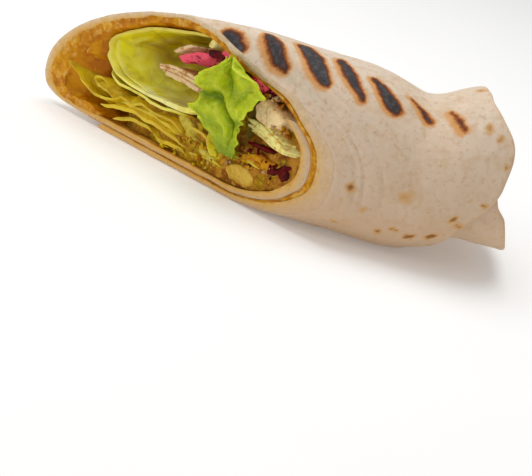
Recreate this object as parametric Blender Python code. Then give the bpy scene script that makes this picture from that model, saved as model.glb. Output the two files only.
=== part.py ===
"""Half of a grilled falafel wrap, cut on the slant and lying on its pressed side.

The roll lies along X, with the cut at -X and the folded tail at +X.  One tortilla
sheet is rolled in a spiral round sauce, leaves, cabbage, onion, falafel and hummus.
Every filling that shows at the cut runs back through the roll from there.

Sizes are in millimetres and are made metres where a mesh is built.  A place in the
roll's cross-section is (y, z): y towards the far side, z up, 0 at the roll's middle.
"""

import bmesh
import bpy
import numpy as np

MM = 0.001

# The roll.
HALF_WIDTH = 32.6
MIDDLE_Y = 0.6
WIDEST_Z = -7.0
CROWN_HEIGHT = 33.0
BELLY_DEPTH = 16.8
PRESSED_Z = -23.0
CUT_SLANT = 1.6

# How the crown swells and sinks along the roll: height, place and reach of each bump.
CROWN_BUMPS = ((2.8, 20.0, 24.0), (1.6, 52.0, 16.0), (-2.2, 75.0, 9.0))
TAIL_LIFT = 6.3
TAIL_LIFTS_FROM, TAIL_LIFTS_BY = 72.0, 96.0
TAIL_NARROWS = 0.05

# The tortilla sheet, rolled from its inner edge to its outer edge.
INNER_EDGE_DEG = -206.0
OUTER_EDGE_DEG = 294.0
LAP_DEG = OUTER_EDGE_DEG - 360.0
SHEET = 2.0
NEAR_WALL_DEG = 190.0
NEAR_WALL_EXTRA = 1.3
LAP_GAP = 0.3
SAUCE_ROOM = 1.0
SHEET_STEPS = 72
LENGTH_STEPS = 15

# How far the knife pressed the roll in at the cut, at angles round it, and how far
# behind the cut the press has died away.
PRESS_ANGLES = (88, 95, 101, 108, 119, 127, 134, 141, 148, 155, 161, 168, 176)
PRESS_DEPTHS = (0, 1.9, 4.2, 6.2, 7.5, 7.6, 6.6, 4.9, 4.0, 3.2, 1.7, 0.4, 0)
PRESS_REACH = 13.0

# Where the sheet ends towards the tail, at angles round the spiral.
TAIL_ANGLES = (-206, -183, -168, -150, -115, -90, -60, -30, 0, 30, 60, 84,
               118, 131, 145, 155, 175, 189, 206, 244, 270, 294)
TAIL_ENDS = (98, 100.4, 104.7, 106.4, 109.6, 110, 106, 101, 96, 93, 91, 89.7,
             91.8, 95.4, 100.4, 101.3, 100.3, 95.1, 91.7, 86.7, 82, 79)

# The sauce on the sheet's inner face.
SAUCE_ANGLES = (-60, -42, -10, 12, 40, 90, 105, 150, 185, 218)
SAUCE_DEPTHS = (0.5, 2.8, 3.0, 2.7, 1.7, 1.0, 0.6, 0.5, 0.4, 0.3)
SAUCE_GAP = 0.4
SAUCE_RECESS = 0.6
SAUCE_REACHES = 0.7

FILLING_END = 68.0

# The folded-in tail end: where its middle is, how it leans, its flaps and its dish.
TAIL_PANEL = 2.2
TAIL_PANEL_BITE = 1.0
TAIL_PANEL_X = 92.0
TAIL_PANEL_MIDDLE_Z = -3.0
TAIL_PANEL_LEAN_Z, TAIL_PANEL_LEAN_Y = 0.33, 0.09
TAIL_FLAP_STEP = 2.0
TAIL_PLEAT = 0.7
TAIL_DISH = 1.5

# Leaves, strips and slices: path through the cross-section, thickness, how far the
# front lies behind the cut, and where the back end is (or how deep it goes).
RIBBONS = {
    "outer_leaf": dict(
        path=((21.6, 3.5), (21.3, -2.0), (18.0, -5.5), (12.0, -6.2), (6.0, -6.2), (0.5, -5.6)),
        thickness=0.9, recess=1.0, wave=0.15, colour=(0.62, 0.66, 0.20)),
    "hook_leaf": dict(
        path=((24.0, 0.0), (25.6, -4.5), (25.1, -9.3), (22.6, -12.4), (19.2, -12.3), (16.4, -10.6)),
        thickness=0.9, recess=4.0, wave=0.15, colour=(0.66, 0.60, 0.14)),
    "tuck_leaf": dict(
        path=((19.6, -7.6), (21.9, -6.5), (23.4, -7.7), (22.5, -9.9), (20.6, -10.6)),
        thickness=0.8, recess=6.0, wave=0.0, colour=(0.60, 0.58, 0.16)),
    "bottom_leaf_1": dict(
        path=((-2.8, -10.5), (1.0, -8.7), (6.0, -8.0), (11.0, -8.1), (14.6, -8.9)),
        thickness=1.4, recess=1.0, wave=0.12, colour=(0.60, 0.60, 0.10)),
    "bottom_leaf_2": dict(
        path=((-1.5, -13.3), (3.0, -11.7), (8.0, -10.7), (12.5, -11.0), (17.2, -14.2)),
        thickness=1.4, recess=0.5, wave=0.12, colour=(0.64, 0.62, 0.10)),
    "bottom_leaf_3": dict(
        path=((-2.0, -16.5), (3.0, -15.2), (8.0, -13.8), (12.0, -13.9), (15.0, -15.8)),
        thickness=1.5, recess=2.0, wave=0.1, colour=(0.60, 0.56, 0.12)),
    "green_leaf": dict(
        path=((-11.4, -6.2), (-11.8, 0.0), (-11.4, 7.5), (-9.8, 13.4), (-7.4, 14.0),
              (-6.4, 9.0), (-8.0, 3.0), (-7.2, -2.4), (-5.2, -3.4)),
        thickness=0.9, recess=3.0, wave=0.1, colour=(0.42, 0.58, 0.06)),
    "onion": dict(
        path=((-1.8, 6.8), (3.0, 7.4), (7.2, 6.4)),
        thickness=2.6, recess=0.0, depth=20.0, colour=(0.80, 0.70, 0.58)),
    "red_cabbage_1": dict(
        path=((-2.0, 15.6), (0.6, 13.4), (3.2, 11.4)),
        thickness=2.2, recess=0.0, depth=22.0, colour=(0.62, 0.10, 0.18)),
    "red_cabbage_2": dict(
        path=((-6.8, 15.8), (-4.8, 16.8), (-3.0, 16.6)),
        thickness=2.0, recess=1.0, colour=(0.30, 0.03, 0.07)),
    "red_cabbage_3": dict(
        path=((-15.4, 11.6), (-13.7, 12.6), (-12.2, 13.6)),
        thickness=1.6, recess=1.0, colour=(0.28, 0.03, 0.09)),
    "red_cabbage_4": dict(
        path=((-17.6, -3.0), (-15.8, -2.8), (-13.9, -3.1)),
        thickness=1.1, recess=1.0, colour=(0.26, 0.02, 0.04)),
    "red_cabbage_5": dict(
        path=((-21.2, -5.4), (-21.7, -8.2), (-20.1, -11.2), (-17.6, -13.8)),
        thickness=1.4, recess=1.5, colour=(0.14, 0.02, 0.02)),
    "cabbage_shred_1": dict(
        path=((2.2, 16.7), (4.0, 14.9), (5.8, 12.6)),
        thickness=1.1, recess=1.0, depth=20.0, colour=(0.72, 0.66, 0.38)),
    "cabbage_shred_2": dict(
        path=((-1.4, 20.7), (-0.8, 19.2), (-0.4, 17.6)),
        thickness=1.2, recess=1.0, depth=24.0, colour=(0.70, 0.66, 0.34)),
}

# Masses that were cut across: middle, half sizes, tilt in degrees, recess, bump size.
LUMPS = {
    "falafel": dict(middle=(-16.8, 7.4), half=(3.0, 3.9), tilt=8, recess=1.5, bump=0.06,
                    colour=(0.42, 0.30, 0.15)),
    "falafel_crumbs": dict(middle=(-7.0, -13.3), half=(3.3, 3.1), tilt=0, recess=2.0, bump=0.09,
                           colour=(0.50, 0.38, 0.20)),
    "white_cabbage": dict(middle=(-17.4, 1.2), half=(4.4, 2.2), tilt=12, recess=0.0, bump=0.07,
                          colour=(0.78, 0.74, 0.46)),
    "spiced_filling": dict(middle=(-16.2, -7.3), half=(3.5, 2.1), tilt=-24, recess=3.0, bump=0.07,
                           colour=(0.56, 0.38, 0.06)),
    "hummus": dict(middle=(-14.2, -14.0), half=(2.9, 3.1), tilt=0, recess=1.0, bump=0.05,
                   colour=(0.58, 0.50, 0.22)),
}

# The cupped leaf: its cut edge from rib to crown, closing to a pole deeper in.
CUP_PATH = ((-2.6, -1.0), (1.0, -3.2), (6.0, -4.0), (11.5, -3.9), (16.5, -2.6), (19.4, 1.0),
            (19.6, 5.5), (17.4, 9.8), (13.4, 13.4), (8.6, 16.4), (3.6, 18.6))
CUP_POLE = (6.0, 14.5)
CUP_POLE_X = 29.0
CUP_CLOSES_DEG = 78.0
CUP_RECESS = 0.6
CUP_LEAF = 0.9
CUP_RIB_EXTRA = 1.0

# The frilly leaf: its outline and fold in front of the cut, and its root inside.
FRILL_HEIGHTS = (-9.6, -6.5, -2.5, 1.0, 5.5, 9.0, 12.0, 14.0, 16.5, 18.6)
FRILL_NEAR = (-12.8, -13.6, -14.7, -14.9, -16.2, -16.9, -17.6, -18.0, -14.5, -9.6)
FRILL_FOLD = (-11.2, -11.6, -12.2, -11.6, -10.3, -9.4, -8.6, -8.0, -8.0, -8.6)
FRILL_FAR = (-9.4, -8.8, -6.9, -4.8, -3.9, -3.7, -4.4, -5.8, -7.2, -8.0)
FRILL_LEAF = 0.8
FRILL_STAND_OFF = 1.5
FRILL_OPEN = 3.2
FRILL_ROOT_DEPTH = 30.0
FRILL_ROOT_Y, FRILL_ROOT_Z = -9.2, -8.1

TORTILLA_COLOUR = (0.78, 0.66, 0.50)
SAUCE_COLOUR = (0.62, 0.36, 0.05)
CUP_COLOUR = (0.66, 0.70, 0.20)
FRILL_COLOUR = (0.40, 0.62, 0.05)


def ramp(low, high, value):
    """0 below low, 1 above high, and a smooth step between them."""
    share = np.clip((value - low) / (high - low), 0.0, 1.0)
    return share * share * (3.0 - 2.0 * share)


def signed_power(value, power):
    """The power of a value's size, with the value's sign."""
    return np.sign(value) * np.abs(value) ** power


def cross_section(degrees, inset):
    """(y, z) at an angle round the roll, a given depth under its skin.

    The section is a leaning superellipse, tall above its widest line and squat below,
    with a square corner at the near lower side, and it is pressed flat underneath.
    Angle 0 is the far side, 90 the top, 180 the near side and 270 underneath.
    """
    turn = np.radians(degrees)
    c, s = np.cos(turn), np.sin(turn)
    near, low = c < 0, s < 0
    across = np.where(low, np.where(near, 0.64, 0.69), 0.976)
    y = MIDDLE_Y + (HALF_WIDTH - inset) * signed_power(c, across)
    crown = (CROWN_HEIGHT - inset) * signed_power(s, 0.976)
    belly = (BELLY_DEPTH - inset) * signed_power(s, np.where(near, 0.72, 0.77))
    lean = np.where(low, 4.0 * np.abs(c), np.where(near, 4.0 + 2.5 * s, 4.0 + 5.5 * s * c))
    z = WIDEST_Z + np.where(low, belly, crown) - lean * c
    return y, np.maximum(z, PRESSED_Z + inset)


def settled(x, y, z):
    """Points of the straight roll moved to the baked roll's shape.

    The crown swells behind the cut and sinks to a waist in front of the tail, and
    the tail lifts off the plate and narrows a little.
    """
    crown = sum(height * np.exp(-((x - place) / reach) ** 2) for height, place, reach in CROWN_BUMPS)
    lift = TAIL_LIFT * ramp(TAIL_LIFTS_FROM, TAIL_LIFTS_BY, x)
    narrow = TAIL_NARROWS * ramp(80, 112, x)
    moved_y = MIDDLE_Y + (y - MIDDLE_Y) * (1 - narrow)
    moved_z = z + lift + crown * ramp(-8, 24, z)
    return np.stack(np.broadcast_arrays(x, moved_y, moved_z), axis=-1)


def cut_x(y):
    """Where the slanting cut crosses the roll at y."""
    return -CUT_SLANT * y


def wall(degrees):
    """The sheet's thickness: thicker where it was bunched up on the near side."""
    away_from_near = np.abs(degrees - NEAR_WALL_DEG)
    return SHEET + NEAR_WALL_EXTRA * (1 - ramp(15, 60, away_from_near))


def sheet_inset(degrees):
    """How deep the sheet's outer face lies under the roll's skin.

    0 on the outer turn.  The covered turn lies under a whole wall and a gap, with
    room for sauce towards the inner edge, and comes up to the skin past the lap.
    """
    covered = wall(degrees + 360.0) + LAP_GAP
    covered = covered + SAUCE_ROOM * (1 - ramp(-172, -112, degrees))
    return covered * (1 - ramp(LAP_DEG, -14, degrees))


def tail_end(degrees):
    """Where the sheet ends towards the tail."""
    return np.interp(degrees, TAIL_ANGLES, TAIL_ENDS)


def sheet_degrees():
    """The angles of the sheet's rows of points, round the spiral."""
    return np.linspace(INNER_EDGE_DEG, OUTER_EDGE_DEG, SHEET_STEPS + 1)


def length_shares():
    """How far along the roll the points of a row lie: closer together near the cut."""
    return np.linspace(0, 1, LENGTH_STEPS + 1) ** 1.3


def rolled_face(degrees, inset, shares, recess=0.0):
    """A face that follows the roll at a depth under its skin, from the cut towards
    the tail.  At the cut it also lies as deep as the knife pressed the roll in."""
    degrees, inset = degrees[:, None], inset[:, None]
    press = np.interp(np.mod(degrees, 360.0), PRESS_ANGLES, PRESS_DEPTHS)
    front = cut_x(cross_section(degrees, inset + press)[0])
    x = front + recess + (tail_end(degrees) - front - recess) * shares[None, :]
    y, z = cross_section(degrees, inset + press * (1 - ramp(0, PRESS_REACH, x - front)))
    return settled(x, y, z)


def sheet_grids():
    """The outer and inner faces of the rolled sheet, from the cut to the tail."""
    degrees = sheet_degrees()
    outer = sheet_inset(degrees)
    return [rolled_face(degrees, inset, length_shares())
            for inset in (outer, outer + wall(degrees))]


def tail_panel_rings():
    """The folded-in end: a dished sheet of two overlapping flaps with soft pleats.

    Rings grow from the middle of its back face to the roll's inner face, which they
    bite into, and shrink again to the middle of its front face.
    """
    degrees = np.linspace(INNER_EDGE_DEG, INNER_EDGE_DEG + 350, 36)[:, None]
    ring = np.array((0.02, 0.35, 0.65, 0.88, 1.0))[None, :]
    y, z = cross_section(degrees, sheet_inset(degrees) + wall(degrees) - TAIL_PANEL_BITE)
    y = MIDDLE_Y + (y - MIDDLE_Y) * ring
    z = TAIL_PANEL_MIDDLE_Z + (z - TAIL_PANEL_MIDDLE_Z) * ring
    flap = TAIL_FLAP_STEP * ramp(-2.0, 2.0, z + 0.45 * y + 3 * np.sin(y / 9))
    rim_free = ring ** 2 * (1 - ramp(0.85, 1.0, ring))
    pleats = TAIL_PLEAT * np.sin(np.radians(7 * degrees)) * rim_free
    x = TAIL_PANEL_X - TAIL_PANEL_LEAN_Z * z - TAIL_PANEL_LEAN_Y * y + flap + pleats
    x = x - TAIL_DISH * (1 - ring ** 2)
    back = settled(x, y, z)
    front = settled(x - TAIL_PANEL, y, z)
    return np.hstack((back, front[:, ::-1]))


def sauce_grids():
    """The sauce layer on the sheet's inner face, over its own rows of points."""
    degrees = sheet_degrees()
    degrees = degrees[(degrees > SAUCE_ANGLES[0]) & (degrees < SAUCE_ANGLES[-1])]
    shares = length_shares()
    shares = shares[shares < SAUCE_REACHES]
    outer = sheet_inset(degrees) + wall(degrees) + SAUCE_GAP
    sauce = np.interp(degrees, SAUCE_ANGLES, SAUCE_DEPTHS)
    return [rolled_face(degrees, inset, shares, SAUCE_RECESS) for inset in (outer, outer + sauce)]


def curve_through(points, count):
    """Evenly spaced points on a smooth curve through a few points (Catmull-Rom)."""
    knots = np.array(points, float)
    ends = (2 * knots[0] - knots[1], 2 * knots[-1] - knots[-2])
    padded = np.vstack((ends[0], knots, ends[1]))
    t = np.linspace(0, len(knots) - 1, 20 * (len(knots) - 1) + 1)
    i = np.minimum(t.astype(int), len(knots) - 2)
    u = (t - i)[:, None]
    a, b, c, d = (padded[i + k] for k in range(4))
    fine = 0.5 * (2 * b + (c - a) * u + (2 * a - 5 * b + 4 * c - d) * u ** 2
                  + (3 * b - a - 3 * c + d) * u ** 3)
    length = np.concatenate(((0,), np.cumsum(np.linalg.norm(np.diff(fine, axis=0), axis=1))))
    even = np.linspace(0, length[-1], count)
    return np.stack([np.interp(even, length, fine[:, k]) for k in range(2)], axis=1)


def path_normals(path):
    """Unit normals of a path in the cross-section."""
    along = np.gradient(path, axis=0)
    along /= np.linalg.norm(along, axis=1)[:, None]
    return np.stack((-along[:, 1], along[:, 0]), axis=1)


def ribbon_grids(path, thickness, recess, wave=0.0, depth=None, **_):
    """Both faces of a leaf or strip that runs back from the cut along a path."""
    reach = float(np.sum(np.linalg.norm(np.diff(np.array(path), axis=0), axis=1)))
    middle = curve_through(path, max(5, int(reach / 1.7)))
    normal = path_normals(middle)
    share = np.linspace(0, 1, 4 if depth else 5)[None, :]
    along = np.linspace(0, 1, len(middle))[:, None]
    faces = []
    for side in (0.5, -0.5):
        edge = middle + side * thickness * normal
        y, z = edge[:, :1], edge[:, 1:]
        front = cut_x(y) + recess
        x = front + (depth if depth else FILLING_END - front) * share
        ripple = wave * np.sin(2 * np.pi * (2.5 * along + x / 31))
        faces.append(settled(x, y + ripple * normal[:, :1], z + ripple * normal[:, 1:]))
    return faces


def two_faces(middle_face, thickness):
    """Both faces of a leaf: its middle surface moved along its normals."""
    normal = np.cross(np.gradient(middle_face, axis=0), np.gradient(middle_face, axis=1))
    normal /= np.linalg.norm(normal, axis=-1)[..., None]
    offset = (0.5 * thickness + np.zeros(normal.shape[:2]))[..., None] * normal
    return [settled(*np.moveaxis(middle_face + side * offset, -1, 0)) for side in (1, -1)]


def cup_leaf_grids():
    """The cupped leaf: the cut edge's curve closes like a bowl to its pole.

    At an angle from 0 to the closing angle the curve shrinks to the pole by the
    cosine while it goes deeper by the sine.  The two faces lie half a thickness to
    each side of that bowl, along its normals.  The rib end is thicker.
    """
    path = curve_through(CUP_PATH, 26)
    along = np.linspace(0, 1, len(path))[:, None]
    deep = np.radians(np.linspace(0, CUP_CLOSES_DEG, 8))[None, :]
    y = CUP_POLE[0] + (path[:, :1] - CUP_POLE[0]) * np.cos(deep)
    z = CUP_POLE[1] + (path[:, 1:] - CUP_POLE[1]) * np.cos(deep)
    front = cut_x(path[:, :1]) + CUP_RECESS
    x = front + (CUP_POLE_X - front) * np.sin(deep)
    thickness = CUP_LEAF + CUP_RIB_EXTRA * (1 - ramp(0, 0.25, along)) * np.cos(deep)
    return two_faces(np.stack((x, y, z), axis=-1), thickness)


def frilly_leaf_grids():
    """The frilly leaf: a root sheet inside the roll, then a folded fan before the cut.

    Up the leaf its edges follow the outline; across it the fold lies nearest the cut,
    the halves open outwards, and the rim waves more the nearer it is to an edge.
    """
    across = np.linspace(-1, 1, 13)[:, None]
    height = np.linspace(FRILL_HEIGHTS[0], FRILL_HEIGHTS[-1], 14)[None, :]
    near, fold, far = (np.interp(height, FRILL_HEIGHTS, line)
                       for line in (FRILL_NEAR, FRILL_FOLD, FRILL_FAR))
    up = (height - FRILL_HEIGHTS[0]) / (FRILL_HEIGHTS[-1] - FRILL_HEIGHTS[0])
    y = fold + np.where(across < 0, fold - near, far - fold) * across
    z = height + 0.5 * np.sin(7 * across) * np.abs(across) + 0 * y
    opening = FRILL_OPEN * np.abs(across) ** 1.2 * ramp(0.0, 0.5, up)
    frill = 0.9 * np.abs(across) ** 2 * np.sin(17 * up + 2 * across) * ramp(0.1, 0.5, up)
    stand = FRILL_STAND_OFF + opening + frill + 1.3 * np.sin(np.pi * up)
    stand = stand * ramp(-0.12, 0.18, up) + 0.5
    root_share = np.array((1.0, 0.6, 0.25, 0.08))[None, :]
    root_y = FRILL_ROOT_Y + 2.6 * across + 0 * root_share
    root_z = FRILL_ROOT_Z + 0.25 * np.sin(3 * across) + 0 * root_share
    root_stand = -FRILL_ROOT_DEPTH * root_share + 0 * root_y
    y = np.hstack((root_y, y))
    z = np.hstack((root_z, z))
    stand = np.hstack((root_stand, stand))
    out_x, out_y = np.array((1.0, CUT_SLANT)) / np.hypot(1.0, CUT_SLANT)
    inside, outside = np.minimum(stand, 0), np.maximum(stand, 0)
    middle_face = np.stack((cut_x(y) - outside * out_x - inside, y - outside * out_y, z), axis=-1)
    return two_faces(middle_face, FRILL_LEAF)


def lump_rings(middle, half, tilt, recess, bump, **_):
    """Rings round a mass that was cut across and rounds off at its back end."""
    turn = np.linspace(0, 2 * np.pi, 14, endpoint=False)[:, None]
    share = np.array((0.0, 0.06, 0.3, 0.55, 0.8, 1.0))[None, :]
    size = np.array((0.94, 1.0, 1.0, 0.96, 0.9, 0.5))[None, :]
    rough = 1 + bump * (np.sin(3 * turn + 9 * share) + 0.8 * np.sin(5 * turn - 6 * share + 1)) / 1.8
    a = half[0] * np.cos(turn) * size * rough / (1 + bump)
    b = half[1] * np.sin(turn) * size * rough / (1 + bump)
    c, s = np.cos(np.radians(tilt)), np.sin(np.radians(tilt))
    y = middle[0] + c * a - s * b
    z = middle[1] + s * a + c * b
    front = cut_x(y) + recess
    x = front + (FILLING_END - front) * share
    return settled(x, y, z)


def sheet_mesh(faces):
    """Points and triangles of a closed sheet whose two faces are split alike."""
    outer, inner = faces
    rows, columns = outer.shape[:2]
    index = np.arange(rows * columns).reshape(rows, columns)
    a, b = index[:-1, :-1].ravel(), index[1:, :-1].ravel()
    c, d = index[1:, 1:].ravel(), index[:-1, 1:].ravel()
    top = np.vstack((np.stack((a, b, c), 1), np.stack((a, c, d), 1)))
    under = top[:, ::-1] + rows * columns
    rim = np.concatenate((index[:, 0], index[-1, 1:], index[-2::-1, -1], index[0, -2:0:-1]))
    after = np.roll(rim, -1)
    side = np.vstack((np.stack((after, rim, rim + rows * columns), 1),
                      np.stack((after, rim + rows * columns, after + rows * columns), 1)))
    points = np.concatenate((outer.reshape(-1, 3), inner.reshape(-1, 3)))
    return points, np.vstack((top, under, side))


def ring_mesh(rings):
    """Points and triangles of a lump: rings joined along it, with a fan on each end."""
    around, along = rings.shape[:2]
    index = np.arange(around * along).reshape(around, along)
    right = np.roll(index, -1, axis=0)
    a, b = index[:, :-1].ravel(), right[:, :-1].ravel()
    c, d = right[:, 1:].ravel(), index[:, 1:].ravel()
    front, back = around * along, around * along + 1
    fans = (np.stack((right[:, 0], index[:, 0], np.full(around, front)), 1),
            np.stack((index[:, -1], right[:, -1], np.full(around, back)), 1))
    ends = rings[:, (0, -1)].mean(axis=0)
    points = np.concatenate((rings.reshape(-1, 3), ends))
    return points, np.vstack((np.stack((a, b, c), 1), np.stack((a, c, d), 1)) + fans)


def material(name, colour, roughness):
    """A plain finish with the colour and roughness of one food."""
    made = bpy.data.materials.new(name)
    made.use_nodes = True
    shader = made.node_tree.nodes["Principled BSDF"]
    shader.inputs["Base Color"].default_value = (*colour, 1.0)
    shader.inputs["Roughness"].default_value = roughness
    shader.inputs["Metallic"].default_value = 0.0
    made.diffuse_color = (*colour, 1.0)
    return made


def add_piece(name, mesh_data, origin, colour, roughness=0.6):
    """An object of one closed body, its points moved to the part's origin."""
    points, triangles = mesh_data
    mesh = bpy.data.meshes.new(name)
    mesh.from_pydata(((points - origin) * MM).tolist(), [], triangles.tolist())
    work = bmesh.new()
    work.from_mesh(mesh)
    bmesh.ops.recalc_face_normals(work, faces=work.faces)
    work.to_mesh(mesh)
    work.free()
    mesh.materials.append(material(name, colour, roughness))
    piece = bpy.data.objects.new(name, mesh)
    bpy.context.scene.collection.objects.link(piece)
    return piece


def add_tortilla(faces, origin):
    """The rolled sheet with its folded-in tail end joined on."""
    tortilla = add_piece("tortilla", sheet_mesh(faces), origin, TORTILLA_COLOUR)
    panel = add_piece("tail_panel", ring_mesh(tail_panel_rings()), origin, TORTILLA_COLOUR)
    panel.hide_render = True
    panel.display_type = "WIRE"
    join = tortilla.modifiers.new("tail end", "BOOLEAN")
    join.operation = "UNION"
    join.solver = "EXACT"
    join.object = panel
    return tortilla


def main():
    for old in list(bpy.data.objects):
        bpy.data.objects.remove(old, do_unlink=True)
    faces = sheet_grids()
    low, high = faces[0].min(axis=(0, 1)), faces[0].max(axis=(0, 1))
    origin = np.array(((low[0] + high[0]) / 2, (low[1] + high[1]) / 2, low[2]))
    add_tortilla(faces, origin)
    add_piece("sauce", sheet_mesh(sauce_grids()), origin, SAUCE_COLOUR, 0.4)
    add_piece("cup_leaf", sheet_mesh(cup_leaf_grids()), origin, CUP_COLOUR, 0.45)
    add_piece("frilly_leaf", sheet_mesh(frilly_leaf_grids()), origin, FRILL_COLOUR, 0.5)
    for name, ribbon in RIBBONS.items():
        add_piece(name, sheet_mesh(ribbon_grids(**ribbon)), origin, ribbon["colour"])
    for name, lump in LUMPS.items():
        add_piece(name, ring_mesh(lump_rings(**lump)), origin, lump["colour"])


main()
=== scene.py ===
import math

import bmesh
import bpy
import numpy as np
from mathutils import Matrix, Vector


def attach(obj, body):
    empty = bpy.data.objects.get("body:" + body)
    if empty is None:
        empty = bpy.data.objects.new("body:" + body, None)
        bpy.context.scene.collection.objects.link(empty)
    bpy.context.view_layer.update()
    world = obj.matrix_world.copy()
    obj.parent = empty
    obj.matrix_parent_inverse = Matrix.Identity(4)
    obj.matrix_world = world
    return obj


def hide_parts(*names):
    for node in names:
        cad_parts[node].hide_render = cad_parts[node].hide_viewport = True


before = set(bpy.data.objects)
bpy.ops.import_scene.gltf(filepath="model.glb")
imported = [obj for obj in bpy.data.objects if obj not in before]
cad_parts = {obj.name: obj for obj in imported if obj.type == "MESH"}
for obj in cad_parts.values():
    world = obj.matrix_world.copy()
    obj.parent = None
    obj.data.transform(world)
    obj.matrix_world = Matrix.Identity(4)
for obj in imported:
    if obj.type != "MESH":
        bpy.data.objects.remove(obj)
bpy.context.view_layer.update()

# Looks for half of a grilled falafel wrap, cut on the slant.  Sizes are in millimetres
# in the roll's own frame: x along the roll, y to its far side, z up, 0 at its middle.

MM = 0.001
ORIGIN = np.array((28.422, 0.6, -23.0))

# The photograph's size in pixels.
IMAGE_WIDTH, IMAGE_HEIGHT = 532, 476

# The roll's cross-section, with the sizes of its solids, and the slant of its cut.
HALF_WIDTH = 32.6
MIDDLE_Y, MIDDLE_Z = 0.6, -3.0
WIDEST_Z = -7.0
CROWN_HEIGHT = 33.0
BELLY_DEPTH = 16.8
PRESSED_Z = -23.0
CROWN_POWER = 0.976
FAR_POWER_Y, NEAR_POWER_Y = 0.69, 0.64
FAR_POWER_Z, NEAR_POWER_Z = 0.77, 0.72
LEAN, NEAR_LEAN, FAR_LEAN = 4.0, 2.5, 5.5
CUT_SLANT = 1.6

# Rises of the crown along the roll: height, place and reach, and from which height of
# the cross-section they begin and are whole.
CROWN_BUMPS = ((2.8, 20.0, 24.0), (1.6, 52.0, 16.0), (-2.2, 75.0, 9.0))
CROWN_BUMPS_FROM_Z, CROWN_BUMPS_BY_Z = -8.0, 24.0

# The tail lifts and narrows between two places along the roll.
TAIL_LIFT = 6.3
TAIL_LIFTS_FROM, TAIL_LIFTS_BY = 72.0, 96.0
TAIL_NARROWS = 0.05
TAIL_NARROWS_FROM, TAIL_NARROWS_BY = 80.0, 112.0

# How far along the roll the filling runs.
FILLING_END = 68.0

# The sheet, rolled from its inner edge to its outer edge, its thickness, the thicker wall
# on its near side, and the room between a covered turn and the turn over it.
INNER_EDGE_DEG = -206.0
OUTER_EDGE_DEG = 294.0
LAP_DEG = OUTER_EDGE_DEG - 360.0
SHEET = 2.0
NEAR_WALL_DEG = 190.0
NEAR_WALL_EXTRA = 1.3
NEAR_WALL_HOLDS_DEG, NEAR_WALL_ENDS_DEG = 15.0, 60.0
LAP_GAP = 0.3
LAP_EASED_DEG = -14.0
SAUCE_ROOM = 1.0
SAUCE_ROOM_FROM_DEG, SAUCE_ROOM_TO_DEG = -172.0, -112.0

# How deep the knife pressed the roll in at the cut, by the angle round the roll.
PRESS_ANGLES = (88, 95, 101, 108, 119, 127, 134, 141, 148, 155, 161, 168, 176)
PRESS_DEPTHS = (0, 1.9, 4.2, 6.2, 7.5, 7.6, 6.6, 4.9, 4.0, 3.2, 1.7, 0.4, 0)
PRESS_REACH = 13.0

# Where the sheet ends at the tail, by the angle along its spiral.
TAIL_ANGLES = (-206, -183, -168, -150, -115, -90, -60, -30, 0, 30, 60, 84,
               118, 131, 145, 155, 175, 189, 206, 244, 270, 294)
TAIL_ENDS = (98, 100.4, 104.7, 106.4, 109.6, 110, 106, 101, 96, 93, 91, 89.7,
             91.8, 95.4, 100.4, 101.3, 100.3, 95.1, 91.7, 86.7, 82, 79)

# The depth of the sauce on the sheet's inner face, by the angle along its spiral, its gap
# to that face, its place behind the cut and the share of the roll that it reaches along,
# and the film of it between the turns.
SAUCE_ANGLES = (-60, -42, -10, 12, 40, 90, 105, 150, 185, 218)
SAUCE_DEPTHS = (0.5, 2.8, 3.0, 2.7, 1.7, 1.0, 0.6, 0.5, 0.4, 0.3)
SAUCE_GAP = 0.4
SAUCE_RECESS = -0.1
SAUCE_REACHES = 0.7
FILM_BITE, FILM_RECESS = 0.1, 0.35

# The folded-in end: its thickness, its bite into the sheet, its place and lean, the step
# of its flap and the depth of its dish.
TAIL_PANEL = 2.2
TAIL_PANEL_BITE = 1.0
TAIL_PANEL_X = 92.0
TAIL_PANEL_LEAN_Z, TAIL_PANEL_LEAN_Y = 0.33, 0.09
TAIL_FLAP_STEP = 2.0
TAIL_DISH = 1.5

# The skin's relief: how noise is drawn out along the roll, the wrinkles behind the near
# rim (place behind the cut and depth), and how far the rim is rounded down.
DRAWN_OUT = (0.4, 1, 1)
RIM_WRINKLES = ((5.6, 0.3), (8.4, 0.45), (15.0, 0.3))
RIM_SUNK = 0.7

# The halo lies a little nearer to the cut and further down than its grill mark.
HALO_SHIFT_X, HALO_SHIFT_ARC = 0.7, 0.4

# Distances that the finish reads where no grill mark and no tail edge is near.
NO_GRILL = 9.0
NO_TAIL = 20.0

# The grill marks: each a line of (x, distance round the roll from its top, half width),
# and how far the mark falls short of black.
GRILL_MARKS = (
    (((8.3, 5.5, 1.5), (11.1, 7.7, 1.9), (13.9, 10.3, 1.0)), 0.0),
    (((20.9, 7.4, 1.3), (23.4, 11.8, 1.8), (26.2, 16.6, 1.4), (28.8, 19.4, 0.6)), 0.0),
    (((32.7, 7.8, 2.2), (35.8, 13.6, 2.5), (38.9, 19.4, 2.5), (41.2, 22.9, 1.5)), 0.0),
    (((44.4, 10.8, 1.3), (46.9, 15.8, 1.7), (50.0, 20.6, 1.4), (53.4, 24.5, 0.7)), 0.0),
    (((55.6, 15.4, 0.7), (59.2, 19.2, 1.9), (62.8, 23.0, 2.3)), 0.0),
    (((67.6, 15.6, 1.3), (71.4, 18.3, 2.0), (74.6, 21.4, 2.1)), 1.45),
    (((79.8, 17.6, 1.1), (82.6, 22.3, 1.6), (85.2, 26.6, 1.4)), 1.3),
)

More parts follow.
